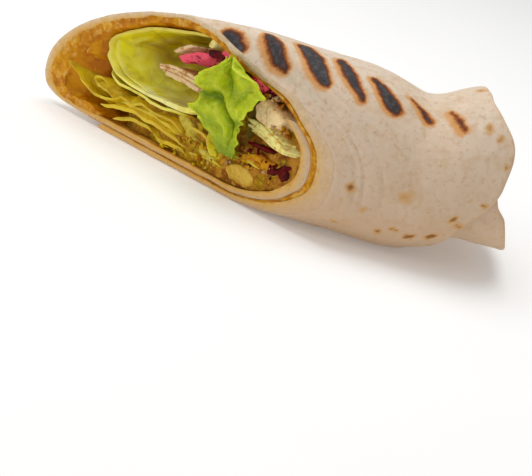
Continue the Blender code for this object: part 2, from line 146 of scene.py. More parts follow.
# Toasted spots on the near side: x, distance round from the top, radius, strength.
TOASTED_SPOTS = [
    (88.0, 6.4, 2.3, 0.85), (91.6, 27.0, 1.7, 0.85), (95.8, 30.3, 1.3, 0.8),
    (99.7, 37.5, 1.1, 0.9), (79.6, 25.6, 0.9, 0.5), (72.7, 11.5, 1.5, 0.4),
    (70.0, 25.1, 0.9, 0.5), (56.2, 33.9, 0.9, 0.3), (51.7, 37.5, 0.7, 0.5),
    (53.2, 45.0, 0.7, 0.5), (56.8, 50.1, 1.4, 1.1), (55.0, 54.5, 1.1, 0.5),
    (62.5, 55.7, 1.1, 0.7), (55.3, 62.8, 1.2, 0.9), (57.7, 60.8, 0.9, 0.4),
    (62.8, 60.9, 0.8, 0.3), (68.2, 62.4, 1.3, 1.0), (73.3, 59.9, 1.1, 1.0),
    (73.9, 57.2, 1.3, 0.4), (73.6, 47.7, 2.4, 0.75), (78.7, 61.6, 1.4, 1.1),
    (84.7, 62.1, 1.7, 1.1), (89.2, 56.0, 1.5, 1.1), (91.6, 58.9, 1.4, 1.0),
    (89.8, 52.5, 0.7, 0.4), (91.6, 49.8, 0.9, 0.7), (97.0, 50.8, 1.1, 0.9),
    (66.0, 41.0, 0.9, 0.3),
]
SCATTERED_SPOTS = 46


def srgb(red, green, blue):
    """A colour of 0 to 255 as the screen shows it, in the linear values of a shader."""
    share = np.array((red, green, blue)) / 255.0
    linear = np.where(share <= 0.04045, share / 12.92, ((share + 0.055) / 1.055) ** 2.4)
    return (*map(float, linear), 1.0)


# ---------------------------------------------------------------- shapes of the roll

def ramp(low, high, value):
    """0 below low, 1 above high, and a smooth step between them."""
    share = np.clip((value - low) / (high - low), 0.0, 1.0)
    return share * share * (3.0 - 2.0 * share)


def signed_power(value, power):
    """The power of a value's size, with the value's sign."""
    return np.sign(value) * np.abs(value) ** power


def softened(value, places, values, reach=2.5):
    """Straight lines through values, their corners softened by a moving average."""
    return sum(np.interp(value + reach * k, places, values) for k in (-1, -0.5, 0, 0.5, 1)) / 5


def cross_section(degrees, inset):
    """(y, z) at an angle round the roll, a depth under its skin: the solids' leaning
    superellipse, tall above its widest line, squat below and pressed flat underneath."""
    turn = np.radians(degrees)
    c, s = np.cos(turn), np.sin(turn)
    near, low = c < 0, s < 0
    across = np.where(low, np.where(near, NEAR_POWER_Y, FAR_POWER_Y), CROWN_POWER)
    y = MIDDLE_Y + (HALF_WIDTH - inset) * signed_power(c, across)
    crown = (CROWN_HEIGHT - inset) * signed_power(s, CROWN_POWER)
    belly = (BELLY_DEPTH - inset) * signed_power(s, np.where(near, NEAR_POWER_Z, FAR_POWER_Z))
    lean = np.where(low, LEAN * np.abs(c),
                    np.where(near, LEAN + NEAR_LEAN * s, LEAN + FAR_LEAN * s * c))
    z = WIDEST_Z + np.where(low, belly, crown) - lean * c
    return y, np.maximum(z, PRESSED_Z + inset)


def points_at(x, y, z):
    """Points from their coordinates, all spread to one shape."""
    return np.stack(np.broadcast_arrays(x, y, z), axis=-1)


def settled(x, y, z):
    """Points of the straight roll moved to the baked roll's shape: the crown rises and
    sinks in soft bumps, and the tail lifts and narrows."""
    crown = sum(height * np.exp(-((x - place) / reach) ** 2)
                for height, place, reach in CROWN_BUMPS)
    lift = TAIL_LIFT * ramp(TAIL_LIFTS_FROM, TAIL_LIFTS_BY, x)
    narrow = TAIL_NARROWS * ramp(TAIL_NARROWS_FROM, TAIL_NARROWS_BY, x)
    moved_y = MIDDLE_Y + (y - MIDDLE_Y) * (1 - narrow)
    moved_z = z + lift + crown * ramp(CROWN_BUMPS_FROM_Z, CROWN_BUMPS_BY_Z, z)
    return points_at(x, moved_y, moved_z)


def cut_x(y):
    """Where the slanting cut crosses the roll at y."""
    return -CUT_SLANT * y


def wall(degrees):
    """The sheet's thickness: thicker where it was bunched up on the near side."""
    off = np.abs(degrees - NEAR_WALL_DEG)
    return SHEET + NEAR_WALL_EXTRA * (1 - ramp(NEAR_WALL_HOLDS_DEG, NEAR_WALL_ENDS_DEG, off))


def sheet_inset(degrees):
    """How deep the sheet's outer face lies under the roll's skin: where another turn
    covers it, that turn's thickness, a gap and some room for sauce."""
    room = SAUCE_ROOM * (1 - ramp(SAUCE_ROOM_FROM_DEG, SAUCE_ROOM_TO_DEG, degrees))
    covered = wall(degrees + 360.0) + LAP_GAP + room
    return covered * (1 - ramp(LAP_DEG, LAP_EASED_DEG, degrees))


def rolled_face(degrees, inset, shares, recess=0.0):
    """A face that follows the roll at a depth under its skin, from the cut towards the
    tail, and as much deeper at the cut as the knife pressed the roll in."""
    degrees, inset = degrees[:, None], np.asarray(inset)[:, None]
    press = softened(np.mod(degrees, 360.0), PRESS_ANGLES, PRESS_DEPTHS)
    front = cut_x(cross_section(degrees, inset + press)[0])
    end = softened(degrees, TAIL_ANGLES, TAIL_ENDS, 4.0)
    x = front + recess + (end - front - recess) * shares[None, :]
    y, z = cross_section(degrees, inset + press * (1 - ramp(0, PRESS_REACH, x - front)))
    return settled(x, y, z)


def lengths(points):
    """Distance along a line of points."""
    steps = np.linalg.norm(np.diff(points, axis=0), axis=1)
    return np.concatenate(((0.0,), np.cumsum(steps)))


def even_degrees(first, last, count):
    """Angles whose points lie evenly round the roll."""
    fine = np.linspace(first, last, 2000)
    round_roll = lengths(np.stack(cross_section(fine, 1.0 + 0 * fine), axis=1))
    return np.interp(np.linspace(0, round_roll[-1], count), round_roll, fine)


def lattice_noise(points, cell, seed):
    """Smooth random values from -1 to 1: random values at the corners of a lattice of
    cubes, blended inside each cube by a smooth step along each axis."""
    side = 32
    table = np.random.default_rng(seed).uniform(-1, 1, (side,) * 3)
    place = np.asarray(points, float) / cell + 100
    corner = np.floor(place).astype(int)
    share = place - corner
    share = share * share * (3 - 2 * share)
    total = 0.0
    for step in np.ndindex(2, 2, 2):
        weight = np.prod(np.where(step, share, 1 - share), axis=-1)
        at = np.moveaxis((corner + step) % side, -1, 0)
        total = total + weight * table[tuple(at)]
    return total


def rough(points, cell, seed, layers=3):
    """Layers of lattice noise, each half as wide and half as strong as the one before."""
    return sum(lattice_noise(points, cell / 2 ** k, seed + k) / 2 ** k for k in range(layers))


def curve_through(points, count):
    """Evenly spaced points on a smooth curve through a few points (Catmull-Rom)."""
    knots = np.array(points, float)
    padded = np.vstack((2 * knots[0] - knots[1], knots, 2 * knots[-1] - knots[-2]))
    t = np.linspace(0, len(knots) - 1, 40 * (len(knots) - 1) + 1)
    i = np.minimum(t.astype(int), len(knots) - 2)
    u = (t - i)[:, None]
    a, b, c, d = (padded[i + k] for k in range(4))
    fine = 0.5 * (2 * b + (c - a) * u + (2 * a - 5 * b + 4 * c - d) * u ** 2
                  + (3 * b - a - 3 * c + d) * u ** 3)
    length = lengths(fine)
    even = np.linspace(0, length[-1], count)
    return np.stack([np.interp(even, length, fine[:, k]) for k in range(fine.shape[1])], axis=1)


def path_normals(path):
    """Unit normals of a line of points in the cross-section, to the left of its run."""
    direction = np.gradient(path, axis=0)
    direction /= np.linalg.norm(direction, axis=1)[:, None]
    return np.stack((-direction[:, 1], direction[:, 0]), axis=1)


def grid_normals(grid):
    """Unit normals of a grid of points, across its rows and columns."""
    normal = np.cross(np.gradient(grid, axis=0), np.gradient(grid, axis=1))
    return normal / np.maximum(np.linalg.norm(normal, axis=-1), 1e-9)[..., None]


# ---------------------------------------------------------------- meshes

def grid_faces(rows, columns, wrap_rows=False, wrap_columns=False):
    """Four-cornered faces of a grid, joined end to end where it wraps round."""
    index = np.arange(rows * columns).reshape(rows, columns)
    if wrap_rows:
        index = np.vstack((index, index[:1]))
    if wrap_columns:
        index = np.hstack((index, index[:, :1]))
    corners = index[:-1, :-1], index[1:, :-1], index[1:, 1:], index[:-1, 1:]
    return np.stack([corner.ravel() for corner in corners], axis=1)


def closed_sheet(outer, inner):
    """Points and faces of a sheet between two alike grids, with a rim that joins them."""
    rows, columns = outer.shape[:2]
    count = rows * columns
    index = np.arange(count).reshape(rows, columns)
    top = grid_faces(rows, columns)
    rim = np.concatenate((index[:, 0], index[-1, 1:], index[-2::-1, -1], index[0, -2:0:-1]))
    after = np.roll(rim, -1)
    side = np.stack((after, rim, rim + count, after + count), axis=1)
    points = np.concatenate((outer.reshape(-1, 3), inner.reshape(-1, 3)))
    return points, np.vstack((top, top[:, ::-1] + count, side))


def leaf_shell(middle, thickness):
    """A leaf: its middle surface moved half its thickness to each side on its normals."""
    offset = (0.5 * thickness + np.zeros(middle.shape[:2]))[..., None] * grid_normals(middle)
    return closed_sheet(middle + offset, middle - offset)


def both_faces(marks):
    """The values at a leaf's middle surface, for its two faces."""
    return {mark: np.tile(values, (2, 1)) for mark, values in marks.items()}


def add_object(name, data):
    """A new object with this data, linked into the scene."""
    new_object = bpy.data.objects.new(name, data)
    bpy.context.scene.collection.objects.link(new_object)
    return new_object


def make_piece(name, points, faces, finish, replaced, marks, sharp_deg=48):
    """A closed mesh in its place: doubles merged, faces turned outwards, shaded smooth
    but for its sharp edges, with its values for the finish kept at its points."""
    mesh = bpy.data.meshes.new(name)
    place = ((np.asarray(points) - ORIGIN) * MM).astype(np.float32)
    mesh.from_pydata(place.tolist(), [], np.asarray(faces).tolist())
    for mark, values in marks.items():
        layer = mesh.attributes.new(mark, "FLOAT", "POINT")
        layer.data.foreach_set("value", np.asarray(values, np.float32).ravel())
    work = bmesh.new()
    work.from_mesh(mesh)
    bmesh.ops.remove_doubles(work, verts=work.verts, dist=2e-7)
    bmesh.ops.dissolve_degenerate(work, edges=work.edges, dist=1e-7)
    bmesh.ops.recalc_face_normals(work, faces=work.faces)
    work.to_mesh(mesh)
    work.free()
    mesh.shade_smooth()
    mesh.set_sharp_from_angle(angle=math.radians(sharp_deg))
    mesh.materials.append(FINISHES[finish])
    piece = add_object(name, mesh)
    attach(piece, "root")
    if replaced:
        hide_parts(*replaced)


def make_rings(name, grid, finish, replaced, marks, sharp_deg=48):
    """A piece from a grid whose rows go round it, the last joined to the first."""
    make_piece(name, grid.reshape(-1, 3), grid_faces(*grid.shape[:2], wrap_rows=True), finish,
               replaced, marks, sharp_deg)


# ---------------------------------------------------------------- finishes

class Value:
    """A number on a socket.  Arithmetic with it adds Math nodes to its finish."""

    def __init__(self, finish, socket):
        self.finish, self.socket = finish, socket

    def maths(self, operation, first, second):
        """A Math node on two values or numbers."""
        return self.finish.add("ShaderNodeMath", {"operation": operation}, {0: first, 1: second})

    def __add__(self, other):
        return self.maths("ADD", self, other)

    def __sub__(self, other):
        return self.maths("SUBTRACT", self, other)

    def __rsub__(self, other):
        return self.maths("SUBTRACT", other, self)

    def __mul__(self, other):
        return self.maths("MULTIPLY", self, other)

    __radd__, __rmul__ = __add__, __mul__

    def step(self, low, high):
        """0 at low and 1 at high, with a smooth step between them."""
        return self.finish.add("ShaderNodeMapRange", {"interpolation_type": "SMOOTHSTEP"},
                               {0: self, 1: low, 2: high, 3: 0.0, 4: 1.0})


class Finish:
    """A material and the nodes that are added to it."""

    def __init__(self, name, **constants):
        self.material = bpy.data.materials.new(name)
        self.material.use_nodes = True
        self.nodes = self.material.node_tree.nodes
        self.links = self.material.node_tree.links
        self.shader = self.nodes["Principled BSDF"]
        for socket, value in constants.items():
            self.shader.inputs[socket.replace("_", " ")].default_value = value
        self.place = self.add("ShaderNodeTexCoord", {}, {}, "Object")

    def add(self, kind, settings, inputs, output=0):
        """A node: its settings first, then the values or links of its sockets."""
        node = self.nodes.new(kind)
        for setting, value in settings.items():
            setattr(node, setting, value)
        for socket, value in inputs.items():
            if isinstance(value, Value):
                self.links.new(value.socket, node.inputs[socket])
            elif value is not None:
                node.inputs[socket].default_value = value
        return Value(self, node.outputs[output])

    def mark(self, name):
        """A value that the mesh keeps at its points."""
        return self.add("ShaderNodeAttribute", {"attribute_name": name}, {}, "Fac")

    def noise(self, size, detail=2.0, bend=0.0, place=None, stretch=None):
        """Cloudy noise from 0 to 1 with patches of a size in millimetres."""
        where = place or self.place
        if stretch:
            where = self.add("ShaderNodeMapping", {}, {"Vector": where, "Scale": stretch})
        return self.add("ShaderNodeTexNoise", {}, {
            "Vector": where, "Scale": 1 / (size * MM), "Detail": detail, "Distortion": bend})

    def cells(self, size):
        """Distance to the nearest of scattered points, about a size apart."""
        return self.add("ShaderNodeTexVoronoi", {"feature": "F1"},
                        {"Vector": self.place, "Scale": 1 / (size * MM)}, "Distance")

    def mix(self, share, first, second):
        """Two colours mixed: the first where share is 0, the second where it is 1.  Each
        is a value, or the red, green and blue of 0 to 255 that the screen shows."""
        first, second = (srgb(*colour) if isinstance(colour, tuple) else colour
                         for colour in (first, second))
        return self.add("ShaderNodeMix", {"data_type": "RGBA"}, {0: share, 6: first, 7: second}, 2)

    def combine(self, x, y):
        """A place on a flat pattern, from its two coordinates."""
        return self.add("ShaderNodeCombineXYZ", {}, {0: x, 1: y, 2: 0.0})

    def bump(self, height, depth, under=None):
        """A bump of a depth in millimetres over another one."""
        return self.add("ShaderNodeBump", {}, {
            "Height": height, "Distance": depth * MM, "Strength": 1.0, "Normal": under})

    def finish(self, colour, roughness=None, normal=None):
        """The material, with what changes over its surface linked to its shader."""
        for socket, value in (("Base Color", colour), ("Roughness", roughness), ("Normal", normal)):
            if value is not None:
                self.links.new(value.socket, self.shader.inputs[socket])
        return self.material


def tortilla_finish():
    """Floury soft wheat tortilla: cream with faint blotches, black grill bars in an
    orange-brown halo, toasted spots, a sauce-stained crumb on its cut edge, and painted
    shade that darkens skin and crumb towards the near side and underneath."""
    f = Finish("tortilla", Subsurface_Weight=0.12, Subsurface_Scale=0.002, Specular_IOR_Level=0.2)
    inside, crumb = f.mark("inside"), f.mark("crumb")
    grill, halo, spot = f.mark("grill"), f.mark("halo"), f.mark("spot")
    tail, covered, soaked = f.mark("tail"), f.mark("covered"), f.mark("soaked")

    # The floury skin, mottled, with pale brown pinpricks.
    soft, fine = f.noise(14, 3), f.noise(2.2, 3)
    colour = f.mix(soft.step(0.35, 0.65), (232, 216, 198), (226, 206, 182))
    mottle = f.noise(1.7, 4, 0.4)
    colour = f.mix(f.noise(6, 4, 0.6).step(0.5, 0.7) * 0.6, colour, (212, 184, 152))
    colour = f.mix((1 - mottle).step(0.54, 0.7) * 0.45, colour, (240, 228, 212))
    colour = f.mix(mottle.step(0.54, 0.68) * 0.5, colour, (194, 164, 132))
    colour = f.mix((0.16 - f.cells(2.3)).step(0.0, 0.1) * 0.5, colour, (172, 136, 98))
    # Painted shade: a darker tan where the roll turns away from the light, on its near side and
    # underneath.
    colour = f.mix(f.mark("painted_side_shade") * 0.8, colour, (200, 166, 130))

    # Toasted spots and a browned tail edge.
    toast = (spot + (fine - 0.5) * 0.35).step(0.18, 0.75) + (2.2 - tail).step(0.0, 2.4) * 0.35
    colour = f.mix(toast * 0.7, colour, (206, 154, 78))
    colour = f.mix((spot + (fine - 0.5) * 0.4).step(0.6, 1.05) * 0.9, colour, (140, 84, 36))

    # Grill marks: an orange-brown halo, a browned edge and a black middle with ash on it.
    ragged = (f.noise(1.4, 4, 0.5) - 0.5) * 1.4
    edge = grill + ragged
    colour = f.mix((2.1 - halo - ragged).step(0.0, 1.6) * 0.8, colour, (214, 146, 62))
    colour = f.mix((1.1 - edge).step(0.0, 0.9) * 0.95, colour, (160, 86, 34))
    colour = f.mix((0.4 - edge).step(0.0, 0.7), colour, (84, 46, 34))
    ash = f.mix(f.noise(1.6, 4).step(0.4, 0.7), (56, 52, 54), (82, 77, 78))
    colour = f.mix((-0.2 - edge).step(0.0, 0.8), colour, ash)

    # The bread at the cut, stained from the inner face outwards.
    stain = f.noise(4, 3, 0.8)
    bread = f.mix(fine.step(0.35, 0.7), (228, 208, 178), (216, 190, 150))
    # Painted shade on the crumb too, darker on the near side.
    bread = f.mix(f.mark("painted_side_shade") * 0.85, bread, (204, 168, 128))
    bread = f.mix((inside * 0.8 + soaked * 0.7 + (stain - 0.5) * 0.6).step(0.25, 1.1) * 0.9,
                  bread, (224, 174, 84))
    bread = f.mix((inside + soaked * 0.3 + (stain - 0.5) * 0.9).step(0.9, 1.3) * 0.75, bread,
                  (196, 130, 36))
    colour = f.mix(crumb, colour, bread)

    # Sauce on the inner face and where another turn covers the outer one.
    lining = f.mix(stain.step(0.35, 0.65), (214, 160, 56), (186, 124, 26))
    stained = inside.step(0.985, 1.0) * (1 - crumb) * (tail - 20.0).step(0.0, 14.0)
    colour = f.mix(stained, colour, lining)
    colour = f.mix(covered * (1 - inside.step(0.0, 0.02)) * (1 - crumb) * 0.75, colour, lining)

    # Pits and blisters, pores at the cut, and a duller or oilier gloss.
    pits = f.bump(f.noise(0.9, 3), 0.10)
    blotch = f.bump(f.noise(3.5, 3), 0.22, pits)
    holes = f.bump(f.cells(1.3).step(0.1, 0.5) * crumb, 0.15, blotch)
    rough_skin = 0.72 - (0.2 - edge).step(0.0, 0.8) * 0.15 - inside.step(0.9, 1.0) * 0.25
    return f.finish(colour, rough_skin, holes)


def sauce_finish():
    """Oily spiced sauce: ochre with orange pools and brown flecks, yellow on its raised
    streaks and darker between them, paler and mottled where it thins out at the cut, and
    darker deep inside as painted shade."""
    f = Finish("sauce", Specular_IOR_Level=0.12, Subsurface_Weight=0.1, Subsurface_Scale=0.002)
    behind = f.mark("behind")
    broad, streak = f.noise(8, 2, 0.6), f.noise(3.6, 2, 1.0)
    colour = f.mix(broad.step(0.4, 0.6), (182, 104, 0), (200, 132, 0))
    # Yellow on the raised streaks and darker between them: partly the sauce's own streaks, partly
    # painted highlight and shade on the relief that the same noise raises.
    colour = f.mix(streak.step(0.5, 0.72) * 0.55, colour, (222, 162, 10))
    colour = f.mix((1 - streak).step(0.5, 0.72) * 0.5, colour, (172, 90, 0))
    colour = f.mix(f.noise(1.6, 3).step(0.64, 0.74) * 0.35, colour, (160, 84, 4))
    colour = f.mix((1.8 - behind + (streak - 0.5) * 2.0).step(0.0, 2.2) * 0.3, colour,
                   (220, 156, 16))
    # Painted shade: darker the deeper behind the cut.
    colour = f.mix((behind - 9.0).step(0.0, 14.0) * 0.5, colour, (150, 78, 0))
    at_cut, mottle = (1.2 - behind).step(0.0, 0.9), f.noise(2.4, 3, 0.6)
    colour = f.mix(mottle.step(0.5, 0.66) * at_cut * 0.5, colour, (232, 192, 104))
    colour = f.mix((1 - mottle).step(0.5, 0.66) * at_cut * 0.5, colour, (150, 84, 14))
    wet = f.bump(f.noise(2.0, 2), 0.12, f.bump(streak, 0.35))
    return f.finish(colour, f.noise(3.0, 2) * 0.3 + 0.22, wet)


def leaf_finish(name, pale, green, deep, edge, painted_shade):
    """A salad leaf: pale by its rib, greener towards its rim, with long fine veins that
    run along the cut, a light cut edge, and a brown-olive painted shade where its shade
    mark says, deep behind the cut and in its folds and hollows."""
    f = Finish(name, Subsurface_Weight=0.18, Subsurface_Scale=0.0025, Specular_IOR_Level=0.14)
    along, behind, rib = f.mark("along"), f.mark("behind"), f.mark("rib")
    flow = f.combine(along * (9 * MM), behind * (1.0 * MM))
    veins, cloud = f.noise(2.2, 4, 0.6, flow), f.noise(5, 3, 0.6)
    colour = f.mix(cloud.step(0.36, 0.64), green, deep)
    colour = f.mix(veins.step(0.44, 0.68) * 0.5, colour, pale)
    colour = f.mix(rib, colour, pale)
    colour = f.mix(rib.step(0.35, 0.85) * 0.75, colour, (255, 250, 196))
    colour = f.mix(f.noise(2.2, 3).step(0.6, 0.74) * 0.35, colour, deep)
    colour = f.mix((0.9 - behind + (cloud - 0.5) * 1.6).step(0.0, 1.0) * 0.6, colour, edge)
    # Painted shade: a brown-olive shade colour mixed in by the shade mark.
    colour = f.mix(f.mark("shade"), colour, painted_shade)
    normal = f.bump(f.noise(0.8, 2), 0.06, f.bump(veins, 0.2))
    return f.finish(colour, f.noise(3, 2) * 0.25 + 0.3, normal)


def frilly_finish():
    """A bright frilly salad leaf: yellow-green with faint branching veins, a painted
    highlight along its rim and on the tops of its small blisters, and painted shade in
    its creases and low down."""
    f = Finish("frilly leaf", Subsurface_Weight=0.2, Subsurface_Scale=0.0025,
               Specular_IOR_Level=0.25)
    cloud, blister = f.noise(4.5, 3, 0.6), f.noise(1.5, 2, 0.4)
    colour = f.mix(cloud.step(0.36, 0.64), (190, 204, 16), (170, 188, 4))
    # Painted highlight on the tops of the blisters, which the same noise raises.
    colour = f.mix(blister.step(0.5, 0.7) * 0.5, colour, (214, 222, 50))
    colour = f.mix(f.mark("vein") * 0.4, colour, (222, 226, 96))
    # Painted highlight along the rim.
    colour = f.mix(f.mark("edge") * 0.6, colour, (210, 222, 50))
    # Painted shade in the creases and low down on the blade.
    colour = f.mix(f.mark("shade"), colour, (92, 124, 0))
    normal = f.bump(blister, 0.45, f.bump(f.noise(0.7, 2), 0.06))
    return f.finish(colour, f.noise(2, 2) * 0.2 + 0.3, normal)


def crumbly_finish(name, light, dark, crust, fleck, smoothest):
    """A crumbly cooked mass: two tones of crumb, browned crust and herb flecks."""
    f = Finish(name, Specular_IOR_Level=0.1)
    cloud, grain = f.noise(4, 4, 0.5), f.cells(1.2)
    colour = f.mix(cloud.step(0.36, 0.64), light, dark)
    colour = f.mix(grain.step(0.25, 0.6) * 0.45, colour, light)
    colour = f.mix(f.mark("crust") * (f.noise(2.0, 3) * 0.9 + 0.45), colour, crust)
    colour = f.mix(f.noise(1.3, 2).step(0.66, 0.74) * 0.5, colour, fleck)
    normal = f.bump(f.noise(0.6, 3), 0.2, f.bump(grain, 0.4))
    return f.finish(colour, f.noise(2, 2) * 0.25 + smoothest, normal)


def cabbage_finish(name, flesh, skin, dark):
    """Sliced cabbage or onion: pale flesh with coloured skins, fine ribs along the roll,
    darker patches, and painted shade that darkens it towards its back end."""
    f = Finish(name, Subsurface_Weight=0.2, Subsurface_Scale=0.002, Specular_IOR_Level=0.1)
    ribs, cloud = f.noise(0.8, 2, 0.3, stretch=(0.2, 1, 1)), f.noise(2.4, 3, 0.8)
    colour = f.mix((f.mark("skin") + (cloud - 0.5) * 0.9).step(0.3, 0.9), flesh, skin)
    colour = f.mix(cloud.step(0.47, 0.66) * 0.8, colour, dark)
    colour = f.mix(ribs.step(0.5, 0.66) * 0.45, colour, flesh)
    # Painted shade: darker the deeper behind the cut.
    colour = f.mix(f.mark("behind").step(4.0, 14.0) * 0.6, colour, dark)
    return f.finish(colour, f.noise(2, 2) * 0.2 + 0.28, f.bump(ribs, 0.3))


def bed_finish():
    """Packed filling in shadow, its colours darkened as painted shade: falafel crumb with
    yellow-green leaf folded through it, a paler strip of leaf, and sauce on the far side."""
    f = Finish("packed filling", Roughness=0.5, Specular_IOR_Level=0.1)
    cloud, fold = f.noise(3.2, 2, 0.8), f.noise(3.5, 2, 1.2)
    crumb = f.mix(cloud.step(0.36, 0.64), (190, 134, 40), (146, 86, 10))
    crumb = f.mix(f.mark("crust") * 0.7, crumb, (112, 56, 6))
    crumb = f.mix(f.noise(1.6, 2).step(0.6, 0.7) * 0.8, crumb, (214, 160, 34))
    leaf = f.mix(fold.step(0.4, 0.62), (168, 128, 0), (122, 84, 0))
    leaf = f.mix(cloud.step(0.54, 0.68) * 0.7, leaf, (218, 188, 40))
    colour = f.mix(f.mark("leafy"), crumb, leaf)
    colour = f.mix(f.mark("orange"), colour, (190, 128, 26))
    pale = f.mix(fold.step(0.4, 0.62), (214, 200, 86), (194, 176, 50))
    colour = f.mix(f.mark("strip") * 0.85, colour, pale)
    return f.finish(colour, None, f.bump(cloud, 0.5))


# Leaves: pale, green, deep, the cut edge, and the brown-olive of their painted shade.
LEAF_COLOURS = {
    "pale leaf": ((252, 242, 116), (236, 220, 8), (208, 190, 0), (248, 234, 122), (122, 78, 0)),
    "yellow leaf": ((234, 208, 60), (216, 182, 0), (190, 150, 0), (234, 206, 72), (142, 92, 0)),
    "green leaf": ((190, 184, 70), (158, 140, 20), (128, 104, 8), (176, 164, 50), (86, 58, 4)),
}

# Cabbage and onion: flesh, skin, and the dark of their patches and of their painted shade.
CABBAGE_COLOURS = {
    "red cabbage": ((244, 92, 112), (206, 20, 66), (118, 4, 26)),
    "dark cabbage": ((104, 8, 8), (74, 3, 2), (36, 2, 0)),
    "white cabbage": ((255, 238, 150), (246, 214, 84), (206, 160, 36)),
    "onion": ((232, 200, 150), (186, 128, 66), (168, 114, 44)),
}

# Crumbly masses: light and dark crumb, crust and flecks, and the least roughness.
CRUMBLY_COLOURS = {
    "falafel": ((255, 226, 168), (248, 196, 126), (136, 78, 14), (160, 132, 40), 0.6),
    "hummus": ((226, 186, 78), (204, 158, 46), (180, 130, 30), (170, 120, 24), 0.45),
    "spiced filling": ((226, 166, 26), (198, 124, 8), (146, 74, 4), (112, 48, 6), 0.4),
}

FINISHES = {"tortilla": tortilla_finish(), "sauce": sauce_finish(),
            "frilly leaf": frilly_finish(), "bed": bed_finish()}
for finish_kind, colours in ((leaf_finish, LEAF_COLOURS), (cabbage_finish, CABBAGE_COLOURS),
                             (crumbly_finish, CRUMBLY_COLOURS)):
    FINISHES |= {name: finish_kind(name, *tones) for name, tones in colours.items()}


# ---------------------------------------------------------------- the tortilla

def wandering(x, arc, amount, size, seed):
    """Points of the skin moved a little by noise, so that marks get uneven outlines."""
    spot = points_at(x, arc, 0.0)
    return x + amount * rough(spot, size, seed, 2), arc + amount * rough(spot, size, seed + 5, 2)


def mark_distances(x, arc):
    """How far each point lies outside the nearest grill mark, in millimetres: the
    distance to the mark's line less its half width, which changes along the line."""
    x, arc = wandering(x, arc, 0.3, 2.6, 13)
    nearest = np.full(np.broadcast(x, arc).shape, NO_GRILL)
    for line, short_of_black in GRILL_MARKS:
        for (x1, a1, r1), (x2, a2, r2) in zip(line[:-1], line[1:]):
            dx, da = x2 - x1, a2 - a1
            share = np.clip(((x - x1) * dx + (arc - a1) * da) / (dx * dx + da * da), 0, 1)
            away = np.hypot(x - x1 - share * dx, arc - a1 - share * da)
            nearest = np.minimum(nearest, away - (r1 + (r2 - r1) * share) + short_of_black)
    return nearest


def spot_strengths(x, arc):
    """How toasted each point is: a soft disc for each spot, on the near side as listed
    and scattered over the far side and the underside."""
    random = np.random.default_rng(11)
    scattered = [(random.uniform(0, 96),
                  random.choice((random.uniform(-75, -14), random.uniform(66, 112))),
                  random.uniform(0.7, 1.6), random.uniform(0.4, 1.1))
                 for _ in range(SCATTERED_SPOTS)]
    x, arc = wandering(x, arc, 0.9, 2.4, 17)
    total = np.zeros(np.broadcast(x, arc).shape)
    for place, round_roll, radius, strength in TOASTED_SPOTS + scattered:
        away = ((x - place) ** 2 + (arc - round_roll) ** 2) / radius ** 2
        total = np.maximum(total, strength * np.exp(-0.7 * away))
    return total


def round_edge(distance):
    """Share of the sheet's thickness left at a distance from its rounded edge."""
    share = np.clip(distance / (SHEET / 2), 0.0, 1.0)
    return np.sqrt(np.maximum(1 - (1 - share) ** 2, 0.0))


def sheet_relief(shell, seed):
    """How far a face of the sheet stands off its smooth form: broad and fine noise, and
    noise drawn out along the roll, stronger towards the tail."""
    relief = 0.22 * rough(shell, 11, seed, 2) + 0.10 * rough(shell, 3.2, seed + 20, 3)
    relief = relief + 0.35 * ramp(70, 100, shell[..., 0]) * rough(shell * DRAWN_OUT, 9, 31, 2)
    return relief + 0.14 * rough(shell * DRAWN_OUT, 4.5, seed + 40, 2)


def rim_relief(shell, degrees):
    """How deep the skin sinks by the cut: soft grooves that run beside the near rim, and
    a rim rounded down all the way along it."""
    behind = shell[..., 0] - shell[:, :1, 0]
    beside = (ramp(98, 125, degrees) * (1 - ramp(175, 205, degrees)))[:, None]
    sunk = RIM_SUNK * (1 - ramp(-1.6, 1.6, behind))
    for place, depth in RIM_WRINKLES:
        off = behind - place - 1.6 * rough(shell, 14, 90, 1) + (140 - degrees[:, None]) / 30
        sunk = sunk + depth * beside * np.exp(-(off / 0.8) ** 2)
    return sunk


